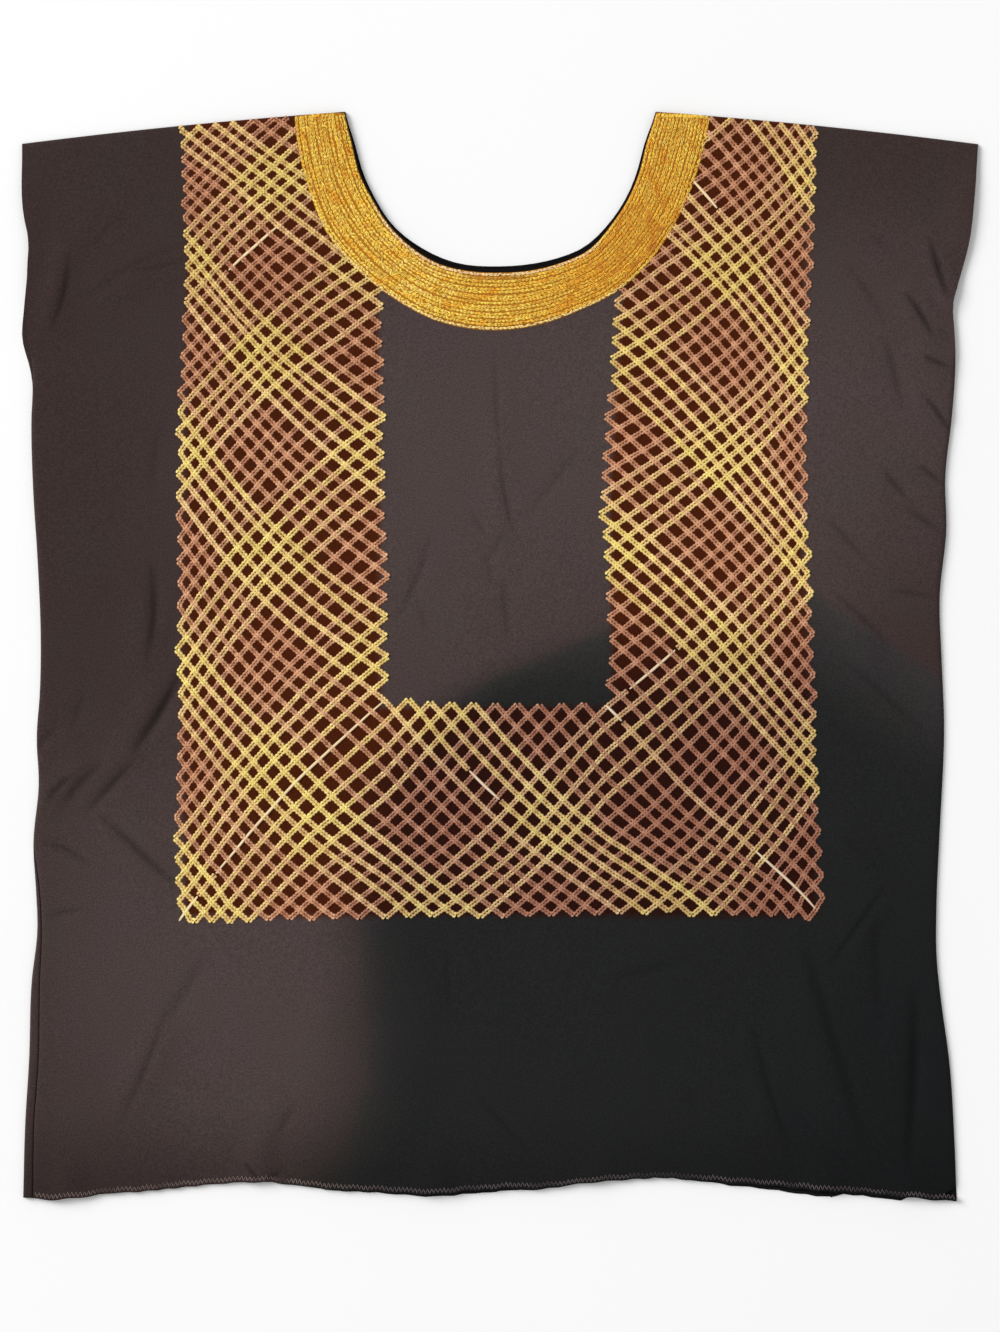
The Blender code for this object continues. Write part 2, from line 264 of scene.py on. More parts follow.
def cotton_finish():
    """Plain-weave cotton: slubs along warp and weft, a fine over-and-under weave, and an uneven black.

    The dye is a warm charcoal, paler in broad patches that are partly painted light. Beyond a line that
    runs up the lower half and bends off to the right it turns to a deeper neutral black, partly painted
    shade and partly the cloth's own darker tone. Between the stitches of the work it is browner and
    darker, painted shade from the raised threads. Painted shade darkens the creases and the cloth along
    the hem, and the rims at the neck are a dark facing with painted shadow.
    """
    material, shader, place = finish_of("black_cotton", "Object")
    across, up = place.part(0), place.part(1)
    slubs = (place.noise(WARP) + place.noise(WEFT)) * 0.5
    cloudy, grain = place.noise(CLOUDS, detail=3.0), place.noise(GRAIN, detail=4.0)
    # The deeper black past the line, partly painted shade, with a greyer edge along it.
    above_bend, below_bend = (up - DEEP_BEND).above(0.0), (FOOT_BEND - up).above(0.0)
    line = above_bend * above_bend * DEEP_SLOPE - below_bend * below_bend * FOOT_SLOPE + DEEP_FROM
    past_line = across - line + (cloudy - 0.5) * DEEP_UNEVEN
    level = up + (across - DEEP_FALLS_FROM).above(0.0) * DEEP_FALL
    deep = past_line.rise(*DEEP_SOFT) * (1.0 - level.rise(DEEP_BELOW[1], DEEP_BELOW[0]))
    greyed = past_line.rise(*DEEP_SHARP) * (1.0 - level.rise(DEEP_BELOW[0] - GREY_SOFT, DEEP_BELOW[0]))
    # Paler in broad patches: partly painted light.
    paleness = (cloudy - 0.5) * PALER_CLOUDY
    for patch in rows_of(table(PALER_PATCHES)):
        paleness = paleness + place.near((patch["x"], patch["y"], 0.0), patch["reach"]) * patch["strength"]
    paled = paleness.rise(0.0, 1.0).mix(linear(WARM_BLACK), linear(PALER_BLACK))
    # Painted shade at its deepest towards the lower right corner.
    deepest = place.near(DEEP_CORNER, CORNER_REACH).mix(linear(DEEP_TONE_AND_SHADE), linear(DEEPEST_TONE_AND_SHADE))
    dye = deep.mix((greyed * GREYED).mix(paled, linear(GREY_BLACK)), deepest)
    # Painted shade between the lattice's threads, brown.
    worked = place.attribute("worked")
    dye = worked.part(0).mix(dye, deep.mix(linear(SHADE_BETWEEN_THREADS), linear(DEEPER_SHADE_BETWEEN_THREADS)))
    # The neck rims: a dark facing with painted shadow.
    dye = worked.part(1).mix(dye, linear(FACING_AND_SHADOW_BLACK))
    tinge = place.noise(TINGES, detail=3.0).rise(0.35, 0.65)
    dye = dye.times(tinge.mix(linear(ROSY), linear(GREENISH)))
    fleck = (grain * GRAIN_SHARE + slubs * (1 - GRAIN_SHARE)).rise(0.30, 0.70)
    dye = dye.times(fleck.mix(linear(DARK_FLECK), linear(PALE_FLECK)))
    # Painted shade in the bottoms of the creases and along the hem.
    away, depth = place.attribute("crease_away"), place.attribute("crease_depth")
    crease = sum(away.part(axis).bell() * depth.part(axis) for axis in range(3))
    shaded = crease * CREASE_SHADE + (1.0 - up.rise(*HEM_SHADE_BELOW)) * HEM_SHADE
    weave = across.wave(WEAVE_WAVE) * up.wave(WEAVE_WAVE)
    relief = weave * WEAVE_HIGH + slubs * SLUBS_HIGH + grain * GRAIN_HIGH - crease * CREASE_DEEP
    raised = {"Height": relief, "Strength": BUMP_STRENGTH, "Distance": BUMP_DISTANCE}
    bump = relief.node("ShaderNodeBump", {}, raised)
    set_sockets(shader, {
        "Base Color": shaded.mix(dye, linear((0, 0, 0))),
        "Roughness": 0.9,
        "Specular IOR Level": 0.10,
        "Sheen Weight": 0.02,
        "Sheen Roughness": 0.5,
        "Normal": bump,
    })
    return material


def rim_of(node):
    """The points round the edge of a node's solid, in no order: the corners of its upright faces."""
    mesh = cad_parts[node].data
    places, normals = np.empty(3 * len(mesh.vertices)), np.empty(3 * len(mesh.polygons))
    corners = np.empty(len(mesh.loops), np.int32)
    mesh.vertices.foreach_get("co", places)
    mesh.polygons.foreach_get("normal", normals)
    mesh.loops.foreach_get("vertex_index", corners)
    upright = np.abs(normals[2::3]) < 0.1
    rim = places.reshape(-1, 3)[corners.reshape(-1, 3)[upright].ravel(), :2] / MM
    return np.unique(rim.round(2), axis=0)


def edges_of(node):
    """The edges of a panel's solid as points in order: the sides upwards, the hem and top to the right.

    Each side runs from the point furthest down and out to the one furthest up and out, and the hem
    and the top hold the rest.
    """
    rim = rim_of(node)
    sides, others = [], np.ones(len(rim), bool)
    for out in (-1, 1):
        foot, tip = (rim[np.argmax(rim @ (out, up))] for up in (-1, 1))
        between = (rim[:, 1] >= foot[1]) & (rim[:, 1] <= tip[1])
        side = between & (out * rim[:, 0] > SIDES_OUTSIDE)
        sides.append(rim[side][np.argsort(rim[side, 1])])
        others &= ~side
    left, right = sides
    hem = np.concatenate([left[:1], rim[others & (rim[:, 1] < 0)], right[:1]])
    top = np.concatenate([left[-1:], rim[others & (rim[:, 1] > 0)], right[-1:]])
    return left, right, hem[np.argsort(hem[:, 0])], top[np.argsort(top[:, 0])]


def rehem(edges, points):
    """A panel's edges with the last stretch of its hem, to the lower right corner, through new points.

    The whole hem is puckered a little by its stitches, in two overlaid waves of uneven length: each is
    the sine of the way along by its length, which a longer sine sways to and fro.
    """
    left, right, hem, top = edges
    points = np.column_stack([points["x"], points["y"]])
    points[0, 1] = np.interp(points[0, 0], *hem.T)
    points[-1, 0] = hem[-1, 0]
    right[0, 1] = points[-1, 1]
    hem = np.concatenate([hem[hem[:, 0] < points[0, 0]], points])
    x = np.union1d(np.linspace(hem[0, 0], hem[-1, 0], HEM_POINTS), points[:, 0])
    pucker = sum(
        height * np.sin(x / length + sway * np.sin(x / sway_length))
        for height, length, sway, sway_length in zip(*table(PUCKERS).values())
    )
    pucker *= (np.minimum(x - x[0], x[-1] - x) / PUCKER_STARTS).clip(0, 1)
    return left, right, np.column_stack([x, np.interp(x, *hem.T) + pucker]), top


def run_of(path):
    """The distance along a path to each of its points."""
    return np.concatenate([[0], np.cumsum(np.hypot(*np.diff(path, axis=0).T))])


def at_shares(path, shares):
    """The points at these shares of a path's length."""
    run = run_of(path) / run_of(path)[-1]
    return np.column_stack([np.interp(shares, run, path[:, axis]) for axis in (0, 1)])


def mesh_lines(length, step, stops=(0, 1)):
    """Shares where mesh lines cross a length: even between the stops, and close together at the ends."""
    parts = [
        np.linspace(start, end, round((end - start) * length / step) + 1)
        for start, end in zip(stops, stops[1:])
    ]
    close = np.array(CLOSE_TO_EDGE) / length
    return np.unique(np.concatenate([*parts, close, 1 - close]).round(6))


def panel_points(edges, step):
    """A grid of points over a panel, as columns by rows by xy.

    Each point is a blend of the four edges, so that the outer lines of the grid follow them. One line
    runs up to each neck corner, the highest point on each half of the top edge.
    """
    left, right, hem, top = edges
    half = top[:, 0] > 0
    corners = [np.argmax(np.where(side, top[:, 1], 0)) for side in (~half, half)]
    stops = [0, *(run_of(top) / run_of(top)[-1])[corners], 1]
    across = mesh_lines(run_of(top)[-1], step * STEP_WIDER_ACROSS, stops)
    up = mesh_lines(np.ptp(left[:, 1]), step)
    a, b = across[:, None, None], up[None, :, None]
    hem_at, top_at = at_shares(hem, across)[:, None], at_shares(top, across)[:, None]
    left_at, right_at = at_shares(left, up)[None], at_shares(right, up)[None]
    corners_at = (1 - a) * ((1 - b) * hem[0] + b * top[0]) + a * ((1 - b) * hem[-1] + b * top[-1])
    return (1 - b) * hem_at + b * top_at + (1 - a) * left_at + a * right_at - corners_at


def beside_line(fold, x, y):
    """The share of a fold's length beside each point, and the point's distance from it.

    A fold with a bow leaves its straight line by that much in the middle.
    """
    over, up = fold["x1"] - fold["x0"], fold["y1"] - fold["y0"]
    run = math.hypot(over, up)
    along = ((x - fold["x0"]) * over + (y - fold["y0"]) * up) / run**2
    across = ((x - fold["x0"]) * up - (y - fold["y0"]) * over) / run
    return along, across - fold.get("bow", 0) * np.sin(math.pi * along.clip(0, 1))


def ridges(folds, x, y):
    """Height of soft ridges: a bell across each, and along it half a sine wave to the power 1.3.

    A height under 0 is a trough.
    """
    height = 0 * x
    for fold in rows_of(folds):
        along, across = beside_line(fold, x, y)
        near = (np.abs(across) < 3 * fold["width"]) & (along > 0) & (along < 1)
        swell = np.sin(math.pi * along[near]) ** 1.3
        height[near] += fold["height"] * np.exp(-((across[near] / fold["width"]) ** 2)) * swell
    return height


def mesh_piece(name, places, quads, material):
    """Makes one piece from its points and faces, gives it a finish, and lets it ride on the garment."""
    mesh = bpy.data.meshes.new(name)
    mesh.vertices.add(len(places))
    mesh.vertices.foreach_set("co", (places * MM).ravel())
    mesh.loops.add(quads.size)
    mesh.loops.foreach_set("vertex_index", quads.ravel())
    mesh.polygons.add(len(quads))
    mesh.polygons.foreach_set("loop_start", np.arange(0, quads.size, 4))
    mesh.update(calc_edges=True)
    mesh.shade_smooth()
    mesh.materials.append(material)
    piece = bpy.data.objects.new(name, mesh)
    bpy.context.scene.collection.objects.link(piece)
    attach(piece, "root")
    return piece


def grid_quads(columns, rows, ring=False):
    """Faces over a grid of points. As a ring, its last row joins its first."""
    corner = np.arange(columns * rows).reshape(columns, rows)
    if ring:
        corner = np.concatenate([corner, corner[:, :1]], axis=1)
    here, right = corner[:-1, :-1], corner[1:, :-1]
    above, across = corner[:-1, 1:], corner[1:, 1:]
    return np.stack([here, right, across, above], -1).reshape(-1, 4)


def cloth_piece(name, points, height, material):
    """Cloth whose upper face is the grid of points at these heights, with its thickness below."""
    places = np.concatenate([points, height[..., None]], -1)
    quads = grid_quads(*points.shape[:2])
    piece = mesh_piece(name, places.reshape(-1, 3), quads, material)
    wall = piece.modifiers.new("wall", "SOLIDIFY")
    wall.thickness = CLOTH_THICK * MM
    wall.offset = -1
    return piece


cotton = cotton_finish()
back_edges = rehem(edges_of("back_panel"), table(BACK_HEM))
back_points = panel_points(back_edges, MESH_STEP_BACK)
back_height = CLOTH_THICK + ridges(table(BACK_FOLDS), *np.moveaxis(back_points, -1, 0))
back = cloth_piece("back_cloth", back_points, back_height, cotton)
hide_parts("back_panel")

# The front panel: the same cut with a little deeper neck, laid on the back. Along the shoulders and the
# sides it is sewn to it from inside, so that its edge turns down in a soft round. The armholes, neck
# and hem stay open. It has the folds of cloth that was worn and smoothed by hand.
MESH_STEP_FRONT = 3.9
FRONT_HEM = """x y
    140.0 -367.6
    318.9 -381.2"""
FRONT_TOP = 2.7
RIPPLE = 0.35
RIPPLES = table("""across up phase
    300 520 0.6
    -610 380 2.1""")
SEAM_ROUND = 2.4
SEAM_TOP = 1.05
SEAM_SINKS, SINK_REACH = 0.8, 0.8
ARMHOLE_FOOT = (214.0, 198.0)
LEFT_SEAM_TOP, LEFT_SEAM_STARTS = -134.0, -160.0
CREASE_REACH, CREASE_FULL, CREASE_FINE = 12.0, 7.5, 0.55
DEEPEST_CREASE = 1.8
FAR = 1e3
FRONT_FOLDS = table("""x0 y0 x1 y1 height width
    -300 300 -318 216 2.6 9
    -215 282 -296 248 1.4 14
    -225 -10 -296 -116 1.5 12
    -286 -72 -326 -112 2.6 9
    -286 -100 -222 -170 1.8 13
    -240 54 -250 -22 1.4 11
    -230 -246 -268 -332 1.8 13
    -332 360 -336 214 1.8 15
    296 302 322 236 3.6 8
    278 262 308 214 2.4 8
    284 216 322 198 2.2 8
    284 188 320 158 1.8 9
    238 60 268 -30 1.8 12
    228 -110 276 -160 1.8 11
    234 -222 276 -156 1.5 11
    206 -186 256 -350 2.6 20
    178 -282 200 -352 1.4 12
    332 356 320 262 1.8 15
    0 236 0 6 0.9 9
    -166 -318 -172 -400 2.6 10
    -300 -344 -306 -410 2.2 12
    -48 -336 -44 -412 2.0 14
    70 -340 66 -404 1.6 13
    222 -350 232 -410 2.2 10
    284 -342 290 -414 2.0 13""")
# The small creases and, last, three small ridges. No two creases of one set lie close together.
CREASES = table("""x0 y0 x1 y1 height width bow set
    -301 284 -315 225 -1.2 3.6 -3.5 0
    -220 289 -295 247 -0.5 5.0 4 1
    -220 276 -258 268 -0.6 4.0 0 2
    -260 312 -288 283 -0.4 4.0 1 2
    -244 67 -248 -8 -1.5 5.0 -4 0
    -238 165 -245 109 -0.4 5.0 0 2
    -221 -6 -258 -69 -2.0 5.5 -2 1
    -255 -72 -290 -110 -1.3 4.2 0 0
    -275 -72 -307 -106 -1.0 4.6 2 2
    -298 -83 -317 -103 -1.5 4.6 2 1
    -290 -22 -300 -54 -0.5 4.0 0 2
    -281 -109 -222 -165 -1.2 5.5 0 1
    -320 -130 -285 -148 -0.8 4.0 -3 2
    -318 -182 -289 -176 -0.6 4.0 0 0
    -309 -48 -326 -71 -0.7 4.0 2 1
    -232 -244 -267 -329 -0.9 4.2 -2 1
    -206 -209 -235 -258 -0.6 7.0 0 0
    300 293 314 248 -1.9 4.6 1 1
    283 255 303 222 -1.7 4.2 -1 0
    294 210 315 201 -1.4 3.6 0 1
    294 185 316 154 -1.4 3.6 -1 0
    269 224 282 172 -0.8 5.0 0 2
    292 134 312 118 -1.0 4.0 0 0
    267 131 286 108 -1.1 4.2 0 1
    285 103 309 86 -0.9 4.0 0 2
    228 97 257 66 -0.8 4.0 0 2
    230 48 273 8 -0.8 4.2 0 0
    272 46 306 41 -0.7 4.0 0 1
    242 276 270 234 -0.5 5.0 0 1
    258 298 276 278 -0.4 4.5 0 2
    238 -1 300 -57 -0.7 5.0 -1 2
    271 -158 229 -218 -1.2 3.6 0 2
    236 -122 270 -155 -0.4 5.0 0 1
    262 -172 265 -258 -0.6 7.0 1 0
    208 -188 256 -346 -1.0 8.0 0 1
    289 -230 284 -361 -1.6 7.0 -2 2
    176 -255 203 -346 -0.9 4.5 2 2
    -15 -309 20 -346 -0.6 4.0 0 1
    78 -225 139 -211 -0.6 6.0 0 0
    -38 -202 -35 -255 -0.4 4.5 0 2
    -142 -310 -156 -336 -0.6 5.0 0 1
    130 -300 139 -326 -0.5 5.0 0 0
    -4 218 1 130 -0.6 3.6 1 0
    -1 142 9 86 -0.9 3.6 1 1
    5 89 -10 65 -0.6 3.6 0 0
    -10 71 -5 48 -0.6 3.4 0 1
    1 55 6 9 -0.7 3.8 0 2
    -21 99 -8 81 -0.5 3.6 -1 2
    59 149 18 97 -0.5 4.0 0 2
    -48 88 -74 22 -0.7 4.2 -3 1
    -59 41 -50 15 -0.5 3.6 0 0
    -166 -369 -179 -354 -1.0 3.0 0 2
    -166 -369 -151 -359 -0.9 3.0 0 0
    -325 343 -272 339 0.5 3.0 0 3
    -166 -356 -158 -394 0.8 2.6 0 3
    -184 -354 -192 -390 0.6 2.6 0 3""")


def front_top(x, y):
    """Height of the front panel's upper face: two slow sine waves, its folds, and its small creases."""
    ripple = sum(
        1 + np.sin(2 * math.pi * (x / across + y / up) + phase)
        for across, up, phase in zip(*RIPPLES.values())
    )
    return FRONT_TOP + RIPPLE * ripple + ridges(FRONT_FOLDS, x, y) + ridges(CREASES, x, y)


def crease_maps(x, y):
    """For each of the three sets of creases: how far the nearest is, and how deep.

    The distance is counted in the crease's own width, made finer. The depth is a share of the deepest
    crease's, and dies away towards both ends and to the sides. As the creases of one set lie far
    apart, a mesh coarser than they are still holds them.
    """
    away, depth = np.zeros((*x.shape, 3)), np.zeros((*x.shape, 3))
    for crease in rows_of(CREASES):
        own_set = int(crease["set"])
        if own_set > 2:
            continue
        along, across = beside_line(crease, x, y)
        near = (np.abs(across) < CREASE_REACH) & (along > -0.02) & (along < 1.02)
        swell = np.sin(math.pi * along.clip(0, 1)) ** 0.7
        swell *= fade(np.abs(across), CREASE_REACH, CREASE_FULL)
        away[near, own_set] = across[near] / (crease["width"] * CREASE_FINE)
        depth[near, own_set] = swell[near] * (-crease["height"] / DEEPEST_CREASE)
    return away, depth


def hold(piece, name, values):
    """Keeps three values for each point of a piece, for its finish to read."""
    kept = piece.data.attributes.new(name, "FLOAT_VECTOR", "POINT")
    kept.data.foreach_set("vector", values.ravel())


def round_down(height, away, low):
    """Lets a height fall to a lower level at an edge, in a quarter round over the seam's round."""
    share = np.clip(away / SEAM_ROUND, 0, 1)
    return low + (height - low) * np.sqrt(1 - (1 - share) ** 2)


def fade(value, start, end):
    """0 up to the start, 1 from the end, smooth between. The start may be the larger."""
    share = np.clip((value - start) / (end - start), 0, 1)
    return share * share * (3 - 2 * share)


front_edges = rehem(edges_of("front_panel"), table(FRONT_HEM))
front_left, front_right, front_hem, front_over = front_edges
front_points = panel_points(front_edges, MESH_STEP_FRONT)
x, y = np.moveaxis(front_points, -1, 0)
open_height = front_top(x, y)
to_left = x - np.interp(y, front_left[:, 1], front_left[:, 0])
to_right = np.interp(y, front_right[:, 1], front_right[:, 0]) - x
to_side = np.where(x < 0, to_left, to_right)
shoulder = np.abs(x) > np.abs(front_over[np.argmax(front_over[:, 1]), 0])
to_shoulder = np.where(shoulder, np.interp(x, *front_over.T) - y, FAR)
sewn = round_down(open_height, to_side, SEAM_TOP)
above_margin = np.where(x < 0, fade(y, LEFT_SEAM_STARTS, LEFT_SEAM_TOP), 1)
sewn_share = fade(y, *ARMHOLE_FOOT) * above_margin
height = open_height + sewn_share * (sewn - open_height)
height = round_down(height, to_shoulder, SEAM_TOP)
beside_margin = (x < 0) * fade(y, LEFT_SEAM_TOP, LEFT_SEAM_STARTS)
sunk = beside_margin * np.exp(-np.clip(to_side, 0, 30) / SINK_REACH)
height -= SEAM_SINKS * sunk
front = cloth_piece("front_cloth", front_points, height, cotton)
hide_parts("front_panel")
# Where the creases are, for the finish to paint shade in their bottoms.
for name, values in zip(("crease_away", "crease_depth"), crease_maps(x, y)):
    hold(front, name, values)

# The turned margin at the lower left: there the back's seam margin comes round to the front, so the
# side seam runs 5 to 7 mm inside the edge. A strip of the same cotton, seamed to the front.
MARGIN_GAP, MARGIN_LEAST = 0.4, 0.2
MARGIN_LINES = np.array([0, 0.04, 0.1, 0.18, 0.28, 0.4, 0.55, 0.7, 0.82, 0.9, 0.95, 1])
MARGIN_ROWS = 130
margin_low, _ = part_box("side_turn_left")
margin_y = np.linspace(margin_low.y / MM, LEFT_SEAM_TOP, MARGIN_ROWS)
back_left = back_edges[0]
outer = np.interp(margin_y, back_left[:, 1], back_left[:, 0])
inner = np.interp(margin_y, front_left[:, 1], front_left[:, 0]) - MARGIN_GAP
x = outer + MARGIN_LINES[:, None] * np.maximum(inner - outer, MARGIN_LEAST)
y = margin_y + 0 * x
height = round_down(front_top(x, y), x - outer, SEAM_TOP)
height -= SEAM_SINKS * np.exp(-(inner - x).clip(0) / SINK_REACH)
margin = cloth_piece("side_margin", np.stack([x, y], -1), height, cotton)
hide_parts("side_turn_left")

# The rolled hems: the raw lower edge of each panel is rolled to a narrow cord of black cotton and held
# by a zigzag. The stitches draw the edge in, so that it is finely toothed.
HEM_ROLL = table("""turn out height
    0 0.0 0.00
    1 0.1 0.45
    2 0.8 0.80
    3 1.7 0.85
    4 2.6 0.60
    5 3.2 0.15
    6 3.2 0.00""")
HEM_PITCH, POINTS_TO_A_STITCH = 2.9, 4
ROLL_UNEVEN, ROLL_SWAYS, ROLL_VARIES = 5.3, 11.7, 0.12
ROLL_SINKS = 0.05
TEETH, MORE_TEETH, TOOTH_LEAST = 0.25, 0.65, 0.6
TEETH_FROM, TEETH_FULL = 90.0, 170.0


def hem_roll(name, hem, level, teeth):
    """A flat-bottomed roll carried along a hem. Its outer edge is drawn in once a stitch.

    The drawing in is a cosine, one wave to the stitch. A slower uneven sine makes its depth and the
    roll's height vary.
    """
    points = round(np.ptp(hem[:, 0]) / HEM_PITCH * POINTS_TO_A_STITCH)
    x = np.linspace(hem[0, 0], hem[-1, 0], points)[:, None]
    drawn_in = 0.5 - 0.5 * np.cos(2 * math.pi * x / HEM_PITCH)
    uneven = 0.5 + 0.5 * np.sin(x / ROLL_UNEVEN + np.sin(x / ROLL_SWAYS))
    tooth = teeth(x) * drawn_in * (TOOTH_LEAST + (1 - TOOTH_LEAST) * uneven)
    y = np.interp(x, *hem.T) + (HEM_ROLL["out"] + tooth * (HEM_ROLL["out"] < 1))
    height = level(x + 0 * y, y) + HEM_ROLL["height"] * (1 + ROLL_VARIES * (uneven - 0.5))
    places = np.stack([x + 0 * y, y, height], -1)
    quads = grid_quads(*y.shape, ring=True)
    return mesh_piece(name, places.reshape(-1, 3), quads[:, ::-1], cotton)


back_hem = back_edges[2]
roll_back = hem_roll(
    "hem_roll_back", back_hem, lambda x, y: 0 * y,
    lambda x: TEETH + MORE_TEETH * fade(x, TEETH_FROM, TEETH_FULL),
)
roll_front = hem_roll(
    "hem_roll", front_hem, lambda x, y: front_top(x, y) - ROLL_SINKS, lambda x: TEETH + 0 * x
)
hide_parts("hem_roll_front")

# The hem's zigzag: dull copper thread, thinner than the embroidery's, in narrow Vs over the roll. Here
# and there it sinks into the cloth and hardly shows.
THREAD_JITTER = 0.004
SUNK = 0.12
# How much darker a thread's feet are: painted shade down its sides.
FOOT_SHADE = 0.40
ZIGZAG_HIGH = (1.1, 4.3)
ZIGZAG_STARTS = 1.5
ZIGZAG_HALF, ZIGZAG_THICK = 0.24, 0.42
ZIGZAG_HIDDEN, HIDDEN_REACH = 114.0, (18, 28)
HIDDEN_HALF, HIDDEN_THICK = 0.75, 0.4
ZIGZAG_SHADE, DIM_RETURN, ZIGZAG_DIM_DEEP = 0.9, 0.3, 0.42
COPPER, DULL_COPPER = (140, 122, 115), (84, 70, 66)
SHADE_LEAST, SHADE_SPAN = 0.4, 0.8
# Tints for thread outside the cotton's painted shade and in it, where the thread is greyer.
UNSHADED_TINT, SHADE_TINT = (1.0, 1.0, 1.0, 1.0), (0.94, 1.01, 1.24, 1.0)
rng = np.random.default_rng(7)


def thread_finish(name, dyes, roughness, sheen, reddens=(1.45, 1.7)):
    """Embroidery thread: its dye goes by u along the stops, and its shade by v, of the map OFBake. The
    shade holds its tone and its painted shade.

    Where it is shaded it turns redder, as light does that has gone through dyed fibres: the shade is
    raised to one power for green and to another for blue. Over the deepest cotton, in painted shade, it
    is greyer.
    """
    material, shader, _ = finish_of(name, "UV")
    base = Shade(shader.inputs["Base Color"])
    place = base.node("ShaderNodeUVMap", {"uv_map": "OFBake"}, {})
    stops = [(stop, linear(colour)) for stop, colour in dyes]
    dye = place.node("ShaderNodeValToRGB", {"stops": stops}, {0: place.part(0)})
    light = place.part(1) * SHADE_SPAN + SHADE_LEAST
    redder = {0: light, 1: light.power(reddens[0]), 2: light.power(reddens[1])}
    lit = dye.times(light.node("ShaderNodeCombineColor", {}, redder))
    deep = place.attribute("deep").part(0)
    set_sockets(shader, {
        "Base Color": lit.times(deep.mix(UNSHADED_TINT, SHADE_TINT)),
        "Roughness": roughness,
        "Specular IOR Level": 0.35,
        "Sheen Weight": sheen,
        "Sheen Roughness": 0.4,
    })
    return material


def threads_piece(name, threads, material):
    """Threads as low tents with a foot on each side, all in one mesh on the front's upper face.

    Each thread is its middle points, its side vectors, half width, ridge height over its feet, lift of
    its feet over the cloth, and uv, for every station along it. The feet sink in a little.
    """
    middle, side, half, ridge, lift, uv = (np.concatenate(column) for column in zip(*threads))
    ends = np.cumsum([len(thread[0]) for thread in threads])[:-1] - 1
    spread = np.array([1, 0, -1])[None, :, None]
    places = middle[:, None] + side[:, None] * half[:, None, None] * spread
    level = front_top(places[..., 0], places[..., 1])
    over = np.stack([lift - SUNK, ridge + lift, lift - SUNK], -1)
    places = np.concatenate([places, (level + over)[..., None]], -1).reshape(-1, 3)
    corner = np.arange(len(places)).reshape(-1, 3)
    here, ahead = corner[:-1], corner[1:]
    quads = np.stack([here[:, :-1], here[:, 1:], ahead[:, 1:], ahead[:, :-1]], -1)
    quads = np.delete(quads, ends, axis=0).reshape(-1, 4)
    piece = mesh_piece(name, places, quads, material)
    # Each point holds how deep the cotton's painted shade is under it, for its finish to grey it.
    deep = tone_and_shade_depth(*places[:, :2].T)
    hold(piece, "deep", np.column_stack([deep, 0 * deep, 0 * deep]))
    around = np.repeat(uv, 3, axis=0) + rng.uniform(-THREAD_JITTER, THREAD_JITTER, (len(places), 2))
    # The feet are darker in v: painted shade down the sides of each thread.
    around[:, 1] -= FOOT_SHADE * np.tile([1, 0, 1], len(uv))
    bake = piece.data.uv_layers.new(name="OFBake")
    bake.uv.foreach_set("vector", around.clip(0.002, 0.998)[quads.ravel()].ravel())
    return piece


def sides_of(path):
    """The unit vector to the left at each point of a path."""
    ahead = np.gradient(path, axis=0)
    ahead /= np.hypot(*ahead.T)[:, None]
    return np.column_stack([-ahead[:, 1], ahead[:, 0]])


def tone_and_shade_depth(x, y):
    """How deep the cotton's painted shade and darker tone are: 0 where it is its warm black and 1 where it
    is its deepest.
    """
    line = DEEP_FROM + DEEP_SLOPE * (y * MM - DEEP_BEND).clip(0) ** 2
    falls = DEEP_FALL * (x * MM - DEEP_FALLS_FROM).clip(0)
    return fade(x * MM - line, *DEEP_SOFT) * fade(y * MM + falls, *DEEP_BELOW)


def wander(count, step, size):
    """A smooth random line: noise at every so many points, joined up."""
    knots = rng.normal(0, size, count // step + 3)
    return np.interp(np.arange(count) / step, np.arange(len(knots)), knots)


half_waves = round(np.ptp(front_hem[:, 0]) / HEM_PITCH * 2)
stations = np.arange(half_waves * 3 + 1) / 3
x = front_hem[0, 0] + ZIGZAG_STARTS + stations * (np.ptp(front_hem[:, 0]) - 2 * ZIGZAG_STARTS) / half_waves
swing = np.abs(np.mod(stations, 2) - 1)
middle_height = sum(ZIGZAG_HIGH) / 2 + wander(len(x), 30, 0.25)
reach = np.diff(ZIGZAG_HIGH) / 2 * (1 + wander(len(x), 6, 0.12))
y = np.interp(x, *front_hem.T) + middle_height + (2 * swing - 1) * reach
over_roll = np.interp(y - np.interp(x, *front_hem.T), HEM_ROLL["out"], HEM_ROLL["height"])
shows = fade(wander(len(x), 20, 1.0), -1.6, 0.3) * fade(np.abs(x - ZIGZAG_HIDDEN), *HIDDEN_REACH)
# Painted shade over the cotton's deepest black dims the zigzag, and each second stroke is darker.
stroke_shade = ZIGZAG_SHADE - ZIGZAG_DIM_DEEP * tone_and_shade_depth(x, y) - DIM_RETURN * (np.mod(stations, 2) > 1)
stroke_shade += wander(len(x), 5, 0.14)
zigzag = np.column_stack([x, y])
zigzag_threads = [(
    zigzag,
    sides_of(zigzag),
    ZIGZAG_HALF * (HIDDEN_HALF + (1 - HIDDEN_HALF) * shows),
    ZIGZAG_THICK * (HIDDEN_THICK + (1 - HIDDEN_THICK) * shows),
    over_roll + 0.02,
    np.column_stack([0.1 + 0.8 * shows, stroke_shade]),
)]
copper = thread_finish("copper_thread", [(0, DULL_COPPER), (1, COPPER)], 0.6, 0.1, (1.1, 1.2))
hem_zigzag = threads_piece("hem_zigzag", zigzag_threads, copper)

